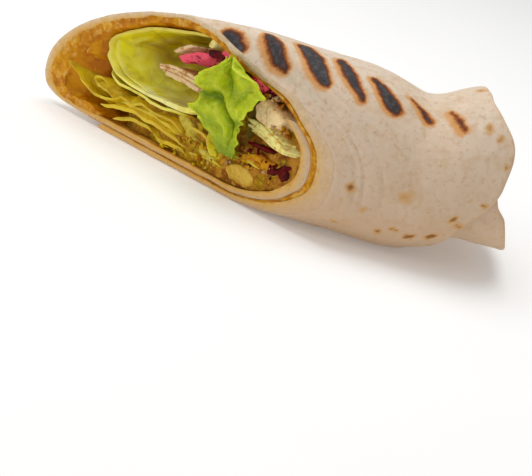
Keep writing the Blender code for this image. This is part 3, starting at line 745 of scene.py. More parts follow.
def make_tortilla():
    """The rolled sheet as one loop of points at each angle: along its outer face to the
    cut, across the cut edge, and back along its inner face.  Its thickness rounds off
    to nothing at the tail and at its two straight edges."""
    degrees = np.concatenate((
        INNER_EDGE_DEG + np.array((0, 0.08, 0.3, 0.8, 1.6)), even_degrees(-202, -68, 55),
        even_degrees(-66.5, 291, 232), OUTER_EDGE_DEG - np.array((1.2, 0.6, 0.25, 0.06, 0.0))))
    shares = np.concatenate((np.linspace(0, 1, 118)[:-1] ** 1.2 * 0.985,
                             1 - 0.015 * (1 - np.linspace(0, 1, 9)) ** 2))
    arcs_at = lengths(np.stack(cross_section(degrees, 0 * degrees), axis=1))
    to_edge = np.minimum(arcs_at, arcs_at[-1] - arcs_at)
    from_top = (arcs_at - np.interp(90.0, degrees, arcs_at))[:, None]
    inset, thick = sheet_inset(degrees), wall(degrees)
    middle = rolled_face(degrees, inset + thick / 2, shares)
    tail = np.linalg.norm(middle[:, -1:] - middle, axis=-1)
    left = round_edge(to_edge)[:, None] * round_edge(tail)
    faces = []
    for depth, seed in ((0.0, 3), (1.0, 9)):
        shell = rolled_face(degrees, inset + thick * depth, shares)
        shell = middle + (shell - middle) * left[..., None]
        outwards = shell - np.array((0, MIDDLE_Y, MIDDLE_Z))
        outwards[..., 0] = 0
        outwards /= np.linalg.norm(outwards, axis=-1)[..., None]
        relief = sheet_relief(shell, seed)
        if depth == 0.0:
            relief = relief - rim_relief(shell, degrees)
        faces.append(shell + (relief * left)[..., None] * outwards)
    outer, inner = faces
    outer[..., 2] = np.maximum(outer[..., 2], PRESSED_Z + 0.02)
    across = np.linspace(0, 1, 9)[1:-1][None, :, None]
    crumb = outer[:, :1] * (1 - across) + inner[:, :1] * across
    crumb[..., 0] += 0.35 * rough(crumb, 1.6, 40, 3) + 0.1 - 0.4 * np.sin(np.pi * across[..., 0])
    loop = np.concatenate((outer[:, ::-1], crumb, inner), axis=1)
    rows, columns = loop.shape[:2]
    length, edge_rows = len(shares), crumb.shape[1]

    def on_skin(values, elsewhere):
        """Values of the outer face along each loop, with one value on its other parts."""
        return np.hstack((values[:, ::-1], np.full((rows, edge_rows + length), elsewhere)))

    def by_angle(places, values):
        """One value for each loop, from values at a few angles."""
        return np.tile(np.interp(degrees, places, values)[:, None], (1, columns))

    inside = np.concatenate((np.zeros(length), across.ravel(), np.ones(length)))
    on_cut = np.concatenate((np.zeros(length - 1), np.ones(edge_rows + 2), np.zeros(length - 1)))
    outer_turn = (degrees > LAP_DEG)[:, None]
    grill, halo = (np.where(outer_turn, distance, NO_GRILL) for distance in (
        mark_distances(outer[..., 0], from_top),
        mark_distances(outer[..., 0] + HALO_SHIFT_X, from_top - HALO_SHIFT_ARC)))
    behind = loop[..., 0] - outer[:, :1, 0]
    marks = {
        "inside": np.tile(inside, (rows, 1)), "crumb": np.tile(on_cut, (rows, 1)),
        "grill": on_skin(grill, NO_GRILL), "halo": on_skin(np.minimum(grill, halo), NO_GRILL),
        "spot": on_skin(spot_strengths(outer[..., 0], from_top), 0.0),
        "covered": (1.0 - outer_turn) * (1 - ramp(8, 34, behind)),
        "soaked": by_angle((-206, -150, -66, -20, 40, 90, 140, 200, 250, 294),
                           (0.3, 0.5, 0.8, 0.6, 0.45, 0.25, 0.0, 0.05, 0.5, 0.9)),
        # Painted shade round the roll: most on the near side, underneath and on the covered turn,
        # least on the top and far side.
        "painted_side_shade": by_angle((-206, -70, -20, 95, 150, 200, 240, 294),
                         (0.8, 0.8, 0.1, 0.1, 0.5, 1.0, 1.0, 0.8)),
        "tail": np.hstack((tail[:, ::-1], np.full((rows, edge_rows), NO_TAIL), tail)),
    }
    make_piece("tortilla_sheet", loop.reshape(-1, 3), grid_faces(rows, columns, wrap_columns=True),
               "tortilla", ["tortilla"], marks, sharp_deg=75)


def make_tail_end():
    """The folded-in end: two overlapping flaps with soft pleats, dished in the middle.
    Rings grow from the middle of its back face to the roll and shrink again in front."""
    degrees = even_degrees(INNER_EDGE_DEG, INNER_EDGE_DEG + 358, 150)[:, None]
    ring = np.concatenate(((0.0, 0.1), np.linspace(0.18, 0.94, 34), (0.97, 1.0)))[None, :]
    y, z = cross_section(degrees, sheet_inset(degrees) + wall(degrees) - TAIL_PANEL_BITE)
    y = MIDDLE_Y + (y - MIDDLE_Y) * ring
    z = MIDDLE_Z + (z - MIDDLE_Z) * ring
    fold = z + 0.45 * y + 3 * np.sin(y / 9)
    flap = TAIL_FLAP_STEP * ramp(-1.1, 0.4, fold)
    free = ring ** 1.5 * (1 - ramp(0.9, 1.0, ring))
    pleats = 0.75 * np.sin(np.radians(7 * degrees)) + 0.45 * np.sin(np.radians(17 * degrees + 40))
    x = TAIL_PANEL_X - TAIL_PANEL_LEAN_Z * z - TAIL_PANEL_LEAN_Y * y + flap + free * pleats
    x = x - TAIL_DISH * (1 - ring ** 2)
    back = settled(x, y, z)
    back[..., 0] += 0.35 * rough(back, 7, 70, 3)
    front = settled(x - TAIL_PANEL, y, z)
    grid = np.hstack((back, front[:, ::-1]))
    toasted = 0.5 * np.exp(-(fold / 1.2) ** 2) + 0.3 * ramp(0.4, 0.9, rough(back, 5, 77, 3))
    # An even, middling painted shade over the folded-in end, and no grill, sauce or cut.
    marks = {mark: np.full(grid.shape[:2], value) for mark, value in (
        ("inside", 0.0), ("crumb", 0.0), ("covered", 0.0), ("soaked", 0.0), ("painted_side_shade", 0.4),
        ("grill", NO_GRILL), ("halo", NO_GRILL), ("tail", NO_TAIL))}
    marks["spot"] = np.hstack((toasted, 0 * toasted))
    make_rings("tail_end", grid, "tortilla", (), marks)


def add_sauce(name, outer, inner, replaced):
    """A layer of sauce between two faces, with its distance behind the cut."""
    points, faces = closed_sheet(outer, inner)
    make_piece(name, points, faces, "sauce", replaced,
               {"behind": points[:, 0] - cut_x(points[:, 1])})


def make_sauce():
    """The sauce on the sheet's inner face: the solid's layer with lumps and runs on its
    free face and an uneven front edge, smeared over the sheet's cut on the far side."""
    degrees = even_degrees(SAUCE_ANGLES[0], SAUCE_ANGLES[-1], 230)
    shares = np.linspace(0, 1, 70) ** 1.5 * SAUCE_REACHES
    outer_inset = sheet_inset(degrees) + wall(degrees) + SAUCE_GAP
    depth = softened(degrees, SAUCE_ANGLES, SAUCE_DEPTHS)
    smeared = 0.9 - 0.75 * ramp(95, 135, degrees)
    outer = rolled_face(degrees, outer_inset - smeared, shares, SAUCE_RECESS)
    inner = rolled_face(degrees, outer_inset + depth, shares, SAUCE_RECESS)
    inwards = inner - outer
    inwards /= np.maximum(np.linalg.norm(inwards, axis=-1), 1e-6)[..., None]
    free = np.minimum(depth / 2.6, 1.0)[:, None]
    lumps = 1.3 * rough(inner, 7.0, 50, 2) + 0.3 * rough(inner, 2.4, 55, 2)
    inner = inner + (free * lumps)[..., None] * inwards
    uneven = 0.35 * rough(inner[:, :1] * (0, 1, 1), 3.0, 58, 2)
    for face in (outer, inner):
        face[..., 0] += uneven * (1 - ramp(0, 0.1, shares))[None, :]
    add_sauce("sauce_layer", outer, inner, ["sauce"])


def make_film():
    """Sauce squeezed into the gap between the covered turn and the outer turn."""
    degrees = even_degrees(INNER_EDGE_DEG + 2, LAP_DEG + 10, 90)
    shares = np.linspace(0, 1, 26) ** 1.5 * SAUCE_REACHES
    seam = 0.25 * rough(points_at(degrees / 8, 0.0, 0.0), 1.0, 62, 2)
    outer = rolled_face(degrees, wall(degrees + 360) - FILM_BITE, shares, FILM_RECESS)
    inner = rolled_face(degrees, sheet_inset(degrees) + FILM_BITE, shares, FILM_RECESS)
    for face in (outer, inner):
        face[..., 0] += (seam[:, None] + 0.2) * (1 - shares)[None, :]
    add_sauce("sauce_film", outer, inner, ())


# ---------------------------------------------------------------- leaves

def make_ribbon_leaf(name, path, thickness, recess, finish, ruffle, seed, droop, replaced,
                     shade=0.0, tucked=0.0):
    """A leaf that runs back from the cut along a path, crumpled most near the cut, with
    an uneven front edge that droops across its path.  Its thickness rounds off at its
    long edges."""
    reach = lengths(np.array(path, float))[-1]
    middle = curve_through(path, int(reach / 0.3) + 6)
    away = np.concatenate((np.linspace(0, 9, 34), np.linspace(9, 26, 18)[1:], (32, 40, 50)))
    along = np.linspace(0, 1, len(middle))[:, None]
    normal = path_normals(middle)
    y, z = middle[:, :1], middle[:, 1:]
    start = points_at(0.0, y, z)
    front = cut_x(y) + recess + tucked * (1 - ramp(0.1, 0.45, along)) \
        + 0.9 * rough(start, 3.6, seed + 3, 2)[:, :1]
    x = np.minimum(front + away[None, :] * (FILLING_END - front) / 60.0, FILLING_END)
    behind = x - front
    spots = points_at(x, y, z)
    near_cut = 1 - 0.6 * ramp(4, 16, behind)
    wave = rough(spots * (0.8, 1, 1), 6.0, seed, 2) + 0.4 * rough(spots, 2.2, seed + 9, 2)
    inside = np.minimum(ramp(0, 0.12, along), ramp(0, 0.12, 1 - along))
    wave = ruffle * wave * near_cut * (0.45 + 0.55 * inside)
    hanging = 0.6 + 0.6 * rough(start, 5.0, seed + 5, 2)[:, :1]
    sag = droop * hanging * (1 - ramp(0, 5.5, behind))
    grid = settled(x, y + (wave - sag) * normal[:, :1], z + (wave - sag) * normal[:, 1:])
    thinned = (0.3 + 0.7 * inside) * (1 - 0.25 * ramp(0, 30, behind))
    points, faces = leaf_shell(grid, thickness * thinned)
    # Painted shade: a base shade, darker the deeper behind the cut and in the troughs of the
    # ruffles.
    dark = shade + 0.75 * ramp(4.5, 12.0, behind) + 0.25 * ramp(0.1, 0.8, -wave / ruffle)
    marks = {"along": along + 0 * x, "behind": behind, "rib": 0 * x,
             "shade": np.clip(dark, 0, 0.9)}
    make_piece(name, points, faces, finish, replaced,
               both_faces(marks))


# The cupped leaf: its cut edge, the pole that it closes towards, its folds, its place
# behind the cut, its thickness, what its rib adds to it, the seed of its unevenness and
# the points along its whole edge.
CUP_PATH = ((-2.6, -1.0), (1.0, -3.2), (6.0, -4.0), (11.5, -3.9), (16.5, -2.6), (19.4, 1.0),
            (19.6, 6.0), (17.9, 10.7), (14.5, 14.6), (10.2, 17.6), (5.0, 19.8), (-0.5, 21.0))
CUP_POLE = (6.0, 14.5)
CUP_POLE_X = 29.0
CUP_CLOSES_DEG = 78.0
CUP_FOLDS = 7
CUP_RECESS = 0.6
CUP_LEAF = 0.9
CUP_RIB_EXTRA = 1.0
CUP_SEED = 60
CUP_POINTS = 170


def make_cup(name, scale, first, last, recess, leaf, rib_extra, replaced):
    """The cupped leaf, or a part of it from a first share of its cut edge to a last one:
    its cut edge closes like a bowl towards a pole deeper in, by the cosine across and by
    the sine in depth, with soft folds that run in from the cut edge."""
    path = curve_through(CUP_PATH, CUP_POINTS)
    keep = np.linspace(0, 1, CUP_POINTS)
    keep = (keep >= first) & (keep <= last)
    along = np.linspace(first, last, keep.sum())[:, None]
    sunk = np.maximum(ramp(last - 0.3, last, along), 1 - ramp(first, first + 0.12, along))
    path = CUP_POLE + (path[keep] - CUP_POLE) * (scale + 1.3 * (1 - scale) * sunk)
    deep = np.radians(np.linspace(0, CUP_CLOSES_DEG, 70))[None, :]
    y = CUP_POLE[0] + (path[:, :1] - CUP_POLE[0]) * np.cos(deep)
    z = CUP_POLE[1] + (path[:, 1:] - CUP_POLE[1]) * np.cos(deep)
    edge_place = points_at(0.0, path[:, :1], path[:, 1:])
    front = cut_x(path[:, :1]) + recess + 0.6 * rough(edge_place, 4.0, CUP_SEED, 2)
    front = front + 1.2 * ramp(0.55, 0.7, along) + 5.0 * ramp(0.75, 1.0, along)
    x = front + (CUP_POLE_X - front) * np.sin(deep)
    grid = settled(x, y, z)
    fold = np.sin(2 * np.pi * CUP_FOLDS * along + 4.0 * rough(grid, 9, CUP_SEED + 1, 2))
    relief = 0.3 * fold * ramp(0.05, 0.4, deep) + 0.8 * rough(grid, 7, CUP_SEED + 2, 2)
    relief = relief * (0.3 + 0.7 * ramp(0, 0.25, deep))
    grid = grid + relief[..., None] * grid_normals(grid)
    thickness = leaf + rib_extra * (1 - ramp(0, 0.25, along)) * np.cos(deep)
    points, faces = leaf_shell(grid, thickness)
    flow = points_at(0.0, 12 * along, 22 * deep)
    streaks = ramp(-0.5, 0.5, rough(flow, 2.2, CUP_SEED + 4, 2))
    rib = np.exp(-((along - 0.12) / 0.2) ** 2) * (1.0 - 0.8 * ramp(0.18, 0.6, deep)) \
        * (0.5 + 0.5 * streaks)
    rib = np.maximum(rib, 0.5 * ramp(0.2, 1.0, fold) * (1 - ramp(0.3, 0.6, along)))
    # Painted shade: darker deep in the upper part of the bowl and in the troughs of its folds.
    painted_shade = 0.65 * ramp(0.02, 0.28, deep) * ramp(0.37, 0.55, along) + 0.15 * ramp(0.2, 1.0, -fold)
    marks = {"along": along + 0 * x, "behind": 0.45 * (x - front) + 0 * y, "rib": rib + 0 * x,
             "shade": np.clip(painted_shade + 0 * x, 0, 0.95)}
    make_piece(name, points, faces, "pale leaf", replaced, both_faces(marks))


# The frilly leaf: its near edge, fold and far edge across the roll at some heights, its
# thickness, how far it stands before the cut and opens, and the root that holds it.
FRILL_HEIGHTS = (-9.6, -6.5, -2.5, 1.0, 5.5, 9.0, 12.0, 13.8, 15.8, 17.6)
FRILL_NEAR = (-12.8, -13.6, -14.5, -14.3, -15.4, -15.9, -16.3, -16.6, -14.6, -9.6)
FRILL_FOLD = (-11.2, -11.6, -12.2, -11.6, -10.3, -9.4, -8.6, -8.0, -8.0, -8.6)
FRILL_FAR = (-9.4, -8.6, -6.2, -3.8, -3.4, -3.7, -4.4, -5.8, -7.2, -8.0)
FRILL_LEAF = 0.8
FRILL_STAND_OFF = 1.5
FRILL_OPEN = 3.2
FRILL_ROOT_DEPTH = 30.0
FRILL_ROOT_Y, FRILL_ROOT_Z = -9.2, -8.1
FRILL_ROOT_COLUMNS = 16

# Creases and blisters of its blade: height, two ends (across, up) and width.
FRILL_CREASES = (
    (0.7, (-0.08, 0.72), (-0.02, 1.0), 0.09), (1.2, (0.22, 0.61), (0.98, 0.59), 0.055),
    (1.1, (0.14, 0.52), (-0.22, 0.32), 0.08), (0.9, (-0.2, 0.41), (-0.95, 0.44), 0.07),
    (0.5, (0.3, 0.3), (0.8, 0.36), 0.07), (0.4, (-0.45, 0.62), (-0.7, 0.8), 0.08),
)
FRILL_BLISTERS = (
    (1.7, (0.25, 0.73), (0.8, 0.70), 0.12), (1.1, (0.35, 0.47), (0.8, 0.46), 0.09),
    (1.2, (-0.25, 0.58), (-0.7, 0.6), 0.14), (0.8, (0.0, 0.12), (0.1, 0.22), 0.10),
)


def crease(across, up, first, last, width):
    """1 on a line across a leaf from a first place to a last one, fading out beside it."""
    (a1, u1), (a2, u2) = first, last
    da, du = a2 - a1, u2 - u1
    share = np.clip(((across - a1) * da + (up - u1) * du) / (da * da + du * du), 0, 1)
    away = np.hypot(across - a1 - share * da, up - u1 - share * du)
    return np.exp(-(away / width) ** 2)


def relief_lines(across, up, lines):
    """The sum of a list of creases, each as high as it says."""
    return sum(height * crease(across, up, first, last, width)
               for height, first, last, width in lines)


def make_frilly_leaf():
    """The frilly leaf: a root sheet inside the roll, then a folded fan before the cut.
    Its halves open outwards from the fold, creases part it into lobes, its blade is
    blistered, and its rim waves and is toothed the nearer it is to an edge."""
    across = np.linspace(-1, 1, 96)[:, None]
    height = np.linspace(FRILL_HEIGHTS[0], FRILL_HEIGHTS[-1], 116)[None, :]
    near, fold, far = (softened(height, FRILL_HEIGHTS, line, 0.8)
                       for line in (FRILL_NEAR, FRILL_FOLD, FRILL_FAR))
    up = (height - FRILL_HEIGHTS[0]) / (FRILL_HEIGHTS[-1] - FRILL_HEIGHTS[0])
    side = np.sign(across) + 0 * up
    teeth = rough(points_at(up * 26, side * 7, 0.0), 1.5, 21, 2)
    rim = np.abs(across) ** 3
    notch = np.where(across > 0, 0.22 * np.exp(-((up - 0.6) / 0.03) ** 2),
                     0.3 * np.exp(-((up - 0.43) / 0.04) ** 2))
    reach = 1 + (0.16 * teeth - notch) * rim
    y = fold + np.where(across < 0, fold - near, far - fold) * across * reach
    z = height + 0.5 * np.sin(7 * across) * np.abs(across) + 0 * y
    top_teeth = rough(points_at(across * 12, 0.0, 0.0), 1.6, 25, 2)
    z = z + 1.3 * top_teeth * ramp(0.8, 1.0, up)
    opening = FRILL_OPEN * np.abs(across) ** 1.2 * ramp(0.0, 0.5, up)
    frill = 1.1 * np.abs(across) ** 2 * np.sin(17 * up + 2 * across) * ramp(0.1, 0.5, up)
    frill = frill + 0.45 * rim * np.sin(41 * up + 5 * across + 2 * teeth) * ramp(0.1, 0.3, up)
    stand = FRILL_STAND_OFF + opening + frill + 1.3 * np.sin(np.pi * up)
    creases = relief_lines(across, up, FRILL_CREASES)
    stand = stand + relief_lines(across, up, FRILL_BLISTERS)
    spots = points_at(5 * side, y, z)
    stand = stand - 1.5 * creases * ramp(0.05, 0.2, up)
    stand = stand + 1.0 * rough(spots, 5.0, 27, 2) * ramp(0.15, 0.4, up)
    stand = (stand + 0.35 * rough(spots, 1.6, 29, 2)) * ramp(-0.12, 0.18, up) + 0.5
    root_share = (1 - np.linspace(0, 0.95, FRILL_ROOT_COLUMNS))[None, :]
    root_y = FRILL_ROOT_Y + 2.6 * across + 0 * root_share
    root_z = FRILL_ROOT_Z + 0.25 * np.sin(3 * across) + 0 * root_share
    y, z = np.hstack((root_y, y)), np.hstack((root_z, z))
    stand = np.hstack((-FRILL_ROOT_DEPTH * root_share + 0 * root_y, stand))
    out_x, out_y = np.array((1.0, CUT_SLANT)) / np.hypot(1.0, CUT_SLANT)
    within, outside = np.minimum(stand, 0), np.maximum(stand, 0)
    grid = settled(cut_x(y) - outside * out_x - within, y - outside * out_y, z)
    no_root = np.zeros((len(across), FRILL_ROOT_COLUMNS))
    rising = np.hstack((no_root, up + 0 * across))
    thickness = FRILL_LEAF * (1 - 0.6 * np.abs(across) ** 2 * ramp(0, 0.2, rising))
    points, faces = leaf_shell(grid, thickness)
    branch = np.abs(np.mod(rising * 7 - np.abs(across) * 1.6, 1.0) - 0.5) * 2
    vein = 0.6 * (1 - ramp(0.0, 0.22, branch)) * (1 - ramp(0.6, 1.0, np.abs(across))) \
        + 0.8 * crease(across, rising, (0.3, 0.35), (0.35, 0.75), 0.03)
    # Painted shade: in the creases, low down on the blade, in a pocket, and down the right of the
    # tip.
    shade = 0.75 * np.hstack((no_root, creases)) + 0.65 * (1 - ramp(0.02, 0.36, rising)) \
        + 0.8 * crease(across, rising, (0.26, 0.6), (0.42, 0.6), 0.05) \
        + 0.45 * crease(across, rising, (-0.2, 0.7), (-0.16, 0.95), 0.13)
    # Painted highlight along the rim and top.
    edge = np.maximum(ramp(0.82, 1.0, np.abs(across)), ramp(0.92, 1.0, rising))
    marks = {"vein": np.clip(vein, 0, 1), "shade": np.clip(shade, 0, 0.85),
             "edge": edge * ramp(0.1, 0.3, rising)}
    make_piece("frilly_leaf_blade", points, faces, "frilly leaf",
               ["frilly_leaf"], both_faces(marks), sharp_deg=80)


# ---------------------------------------------------------------- slices and masses

def make_mass(name, outline, finish, recess, end, replaced, bevel, lumps, lump_size,
              seed, skin_of=None, crust_side=None):
    """A mass that runs back from the cut: its outline in the cross-section grows from
    the middle of its cut face over a rounded edge, runs along the roll and rounds off
    at its back end.  Noise along its normals makes it uneven."""
    outline = np.asarray(outline, float)
    centre = outline.mean(axis=0)
    rings = np.concatenate((np.linspace(0, 0.86, 9), (0.93, 0.98, 1.0), np.ones(16),
                            (0.95, 0.85, 0.55, 0.3, 0.0)))[None, :]
    y = centre[0] + (outline[:, :1] - centre[0]) * rings
    z = centre[1] + (outline[:, 1:] - centre[1]) * rings
    rounding = bevel * np.concatenate((np.zeros(9), (0.12, 0.45, 1.0)))
    front = cut_x(y) + recess
    run = np.concatenate((rounding / (end + 20), np.linspace(0.02, 0.9, 16) ** 1.4 + 0.015,
                          (0.94, 0.97, 0.99, 1.0, 1.0)))[None, :]
    x = front + (end - front) * run
    grid = settled(x, y, z)
    face = grid_normals(grid)
    grid = grid + (lumps * rough(grid, lump_size, seed, 3))[..., None] * face
    behind = (x - front) + 0 * y
    skin = np.zeros(grid.shape[:2]) if skin_of is None else skin_of(y, z)
    if crust_side is None:
        crust = 0.5 * ramp(0.55, 1.0, rings + 0 * y)
    else:
        lean = (y - centre[0]) * crust_side[0] + (z - centre[1]) * crust_side[1]
        crust = ramp(0.3, 1.0, lean / np.abs(lean).max())
    marks = {"behind": behind, "skin": skin, "crust": crust}
    make_rings(name, grid, finish, replaced, marks, sharp_deg=60)


# How square a slice's outline is: the power of its sine and cosine.
BAR_POWER = 0.45


def bar_outline(path, thickness):
    """The outline of a slice that follows a path: a rounded rectangle bent along it."""
    middle = curve_through(path, 60)
    turn = np.linspace(0, 2 * np.pi, 64, endpoint=False)
    place = (signed_power(np.cos(turn), BAR_POWER) + 1) / 2 * (len(middle) - 1)
    across = signed_power(np.sin(turn), BAR_POWER) * thickness / 2
    at, out = (np.stack([np.interp(place, np.arange(len(middle)), values[:, k])
                         for k in range(2)], axis=1) for values in (middle, path_normals(middle)))
    return at + across[:, None] * out


def oval_outline(middle, half, tilt, bump, seed):
    """The outline of a mass: a tilted oval with a few soft corners."""
    turn = np.linspace(0, 2 * np.pi, 72, endpoint=False)
    corners = (np.sin(3 * turn + seed) + 0.8 * np.sin(5 * turn + 1 + 2 * seed)) / 1.8
    uneven = (1 + bump * corners) / (1 + bump)
    a, b = half[0] * np.cos(turn) * uneven, half[1] * np.sin(turn) * uneven
    c, s = math.cos(math.radians(tilt)), math.sin(math.radians(tilt))
    return np.stack((middle[0] + c * a - s * b, middle[1] + s * a + c * b), axis=1)


# The strip of pale leaf pressed into the bed, the middle that the bed grows from, and
# its thickness.
BED_STRIP = ((2.4, -5.2), (0.6, -6.3), (-1.6, -8.7), (-4.9, -12.1), (-7.5, -14.1))
BED_STRIP_RAISED = 0.9
BED_MIDDLE = (-3.0, -2.0)
BED_THICKNESS = 1.2


def make_bed():
    """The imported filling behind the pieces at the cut: one crumpled surface across the
    roll, shallow on the near side and underneath, deep inside the cupped leaf, with a
    pale strip of leaf pressed into it."""
    degrees = np.linspace(0, 358, 200)[:, None]
    ring = np.linspace(0, 1, 120)[None, :]
    inset = softened(degrees, PRESS_ANGLES, PRESS_DEPTHS) * 0.7 + 4.6
    inset = inset + 1.6 * ramp(130, 190, degrees) * (1 - ramp(220, 250, degrees))
    edge_y, edge_z = cross_section(degrees, inset)
    y = BED_MIDDLE[0] + (edge_y - BED_MIDDLE[0]) * ring
    z = BED_MIDDLE[1] + (edge_z - BED_MIDDLE[1]) * ring
    cupped = ramp(-1.5, 1.0, y) * (1 - ramp(19.5, 22.5, y)) * ramp(-4.5, -2.5, z)
    depth = 2.6 + 2.4 * ramp(-10, 0, z) + 1.5 * ramp(-4, 4, y) + 14.0 * ramp(12, 24, y)
    depth = depth * (1 - cupped) + (33.0 - cut_x(y)) * cupped
    spots = points_at(0.0, y, z)
    depth = depth - 0.8 * np.exp(-((y + 19) ** 2 + (z + 10) ** 2) / 20) \
        - 0.9 * np.exp(-((y - 7) / 9) ** 2 - ((z + 11) / 4) ** 2)
    depth = depth + 1.4 * rough(spots, 4.5, 80, 2) + 0.3 * rough(spots, 1.8, 85, 2)
    strip = curve_through(BED_STRIP, 40)
    away = np.hypot(y[..., None] - strip[:, 0], z[..., None] - strip[:, 1]).min(axis=-1)
    pale = 1 - ramp(0.8, 1.6, away + 0.6 * rough(spots, 2.5, 89, 2))
    grid = settled(cut_x(y) + depth - BED_STRIP_RAISED * pale, y, z)
    loop = np.hstack((grid, grid[:, ::-1] + (BED_THICKNESS, 0, 0)))
    leafy = ramp(0.0, 0.45, 0.25 + 0.9 * rough(grid, 6.0, 87, 2) - 0.5 * (1 - ramp(-16, -4, y)))
    leafy = np.maximum(leafy, np.exp(-((y - 8) / 9) ** 2 - ((z + 11) / 5) ** 2))
    clump = np.exp(-((y + 3.5) ** 2 + (z + 12) ** 2) / 9)
    crumb = ramp(0.2, 0.9, rough(grid, 3, 88, 2) + 1.2 * clump)
    marks = {"leafy": leafy, "crust": crumb, "orange": ramp(17, 22, y), "strip": pale}
    marks = {mark: np.hstack((values, values[:, ::-1])) for mark, values in marks.items()}
    make_rings("filling_bed", loop, "bed", (), marks, sharp_deg=70)


# Leaves over their solids: name, path, thickness, recess, finish, ruffle, seed, droop,
# and what else they have.
RIBBON_LEAVES = (
    ("outer_leaf", ((21.6, 3.5), (21.3, -2.0), (18.0, -5.5), (12.0, -6.2), (6.0, -6.2),
                    (0.5, -5.6)), 0.9, 1.0, "pale leaf", 0.45, 101, 0.8, {"tucked": 7.0}),
    ("hook_leaf", ((28.2, -6.0), (26.7, -9.2), (23.9, -12.4), (20.9, -14.0), (17.9, -12.9),
                   (14.9, -10.4)), 0.9, 1.6, "yellow leaf", 0.4, 111, 1.4, {}),
    ("tuck_leaf", ((19.6, -7.6), (21.9, -6.5), (23.4, -7.7), (22.5, -9.9), (20.6, -10.6)),
     0.8, 3.6, "yellow leaf", 0.2, 121, 0.8, {}),
    ("bottom_leaf_1", ((-2.8, -10.5), (1.0, -8.7), (6.0, -8.0), (11.0, -8.1), (14.6, -8.9)),
     1.2, 1.0, "yellow leaf", 0.3, 131, 3.2, {}),
    ("bottom_leaf_2", ((-1.5, -13.3), (3.0, -11.7), (8.0, -10.6), (13.0, -10.7), (18.6, -13.4)),
     1.2, 0.3, "yellow leaf", 0.4, 141, 1.9, {}),
    ("bottom_leaf_3", ((-2.0, -16.5), (3.0, -15.2), (8.0, -13.8), (12.0, -13.9), (15.6, -15.6)),
     1.2, 1.4, "yellow leaf", 0.4, 151, 1.7, {}),
    # The green leaf takes a strong painted shade all over.
    ("green_leaf", ((-11.4, -6.2), (-11.8, 0.0), (-11.4, 7.5), (-9.8, 13.4), (-7.4, 14.0),
                    (-6.4, 9.0), (-8.0, 3.0), (-7.2, -2.4), (-5.2, -3.4)),
     0.9, 3.0, "green leaf", 0.4, 161, 0.5, {"shade": 0.6}),
)
PALE_RIB = ((-6.0, -5.4), (-6.3, -8.6), (-7.4, -11.2), (-7.9, -12.6))

# Folds of the sauce and of loose leaf between the solids: path, thickness and recess, and
# path, recess and droop.
SAUCE_FOLDS = (
    (((21.4, 6.6), (19.6, 11.0), (15.9, 15.4), (11.0, 18.7), (5.4, 21.2), (-1.0, 22.2)), 1.4, 2.6),
    (((26.4, -2.0), (24.8, 3.6), (21.4, 8.4), (17.6, 12.2)), 1.3, 2.6),
    (((-9.0, -14.2), (-11.4, -10.6), (-14.6, -9.0), (-17.8, -9.6)), 1.0, 1.5),
    (((-10.2, -16.6), (-12.6, -12.2), (-16.0, -10.9), (-18.6, -12.0)), 0.9, 1.5),
    (((-4.0, -13.6), (-7.4, -11.6), (-10.4, -8.8)), 0.9, 1.5),
)
FOLDED_LEAVES = (
    (((14.6, -10.6), (17.4, -9.2), (20.0, -8.0), (21.9, -7.4)), 1.2, 2.4),
    (((-1.5, -8.2), (-4.5, -9.6), (-7.5, -11.6), (-10.5, -12.4)), 1.2, 2.1),
    (((-9.6, -9.8), (-12.5, -10.4), (-14.6, -9.4), (-17.0, -10.2)), 1.2, 1.8),
    (((-3.0, -16.4), (-6.5, -15.2), (-10.0, -15.8)), 1.2, 1.5),
    (((0.0, -7.8), (5.5, -7.5), (10.5, -7.2), (15.4, -8.0)), 2.2, 3.0),
)


def make_leaves():
    """The leaves that line the roll, each along its solid's path, and the folds between."""
    make_cup("cup_leaf_bowl", scale=1.0, first=0.0, last=1.0, recess=CUP_RECESS, leaf=CUP_LEAF,
             rib_extra=CUP_RIB_EXTRA, replaced=["cup_leaf"])
    make_cup("cup_leaf_fold", scale=0.94, first=0.18, last=0.7, recess=2.6, leaf=0.6,
             rib_extra=0.0, replaced=())
    for name, path, thickness, recess, finish, ruffle, seed, droop, more in RIBBON_LEAVES:
        make_ribbon_leaf(name, path, thickness, recess, finish, ruffle, seed, droop, [name], **more)
    make_ribbon_leaf("pale_rib", PALE_RIB, 1.4, 0.4, "pale leaf", ruffle=0.3, seed=221,
                     droop=0.8, replaced=())
    for k, (path, thickness, recess) in enumerate(SAUCE_FOLDS):
        make_ribbon_leaf(f"sauce_fold_{k + 1}", path, thickness, recess, "sauce", ruffle=0.5,
                         seed=151 + 10 * k, droop=1.0, replaced=())
    # The folded leaves take a faint painted shade.
    for k, (path, recess, droop) in enumerate(FOLDED_LEAVES):
        make_ribbon_leaf(f"folded_leaf_{k + 1}", path, 0.9, recess, "yellow leaf", ruffle=0.4,
                         seed=171 + 10 * k, droop=droop, replaced=(), shade=0.05)


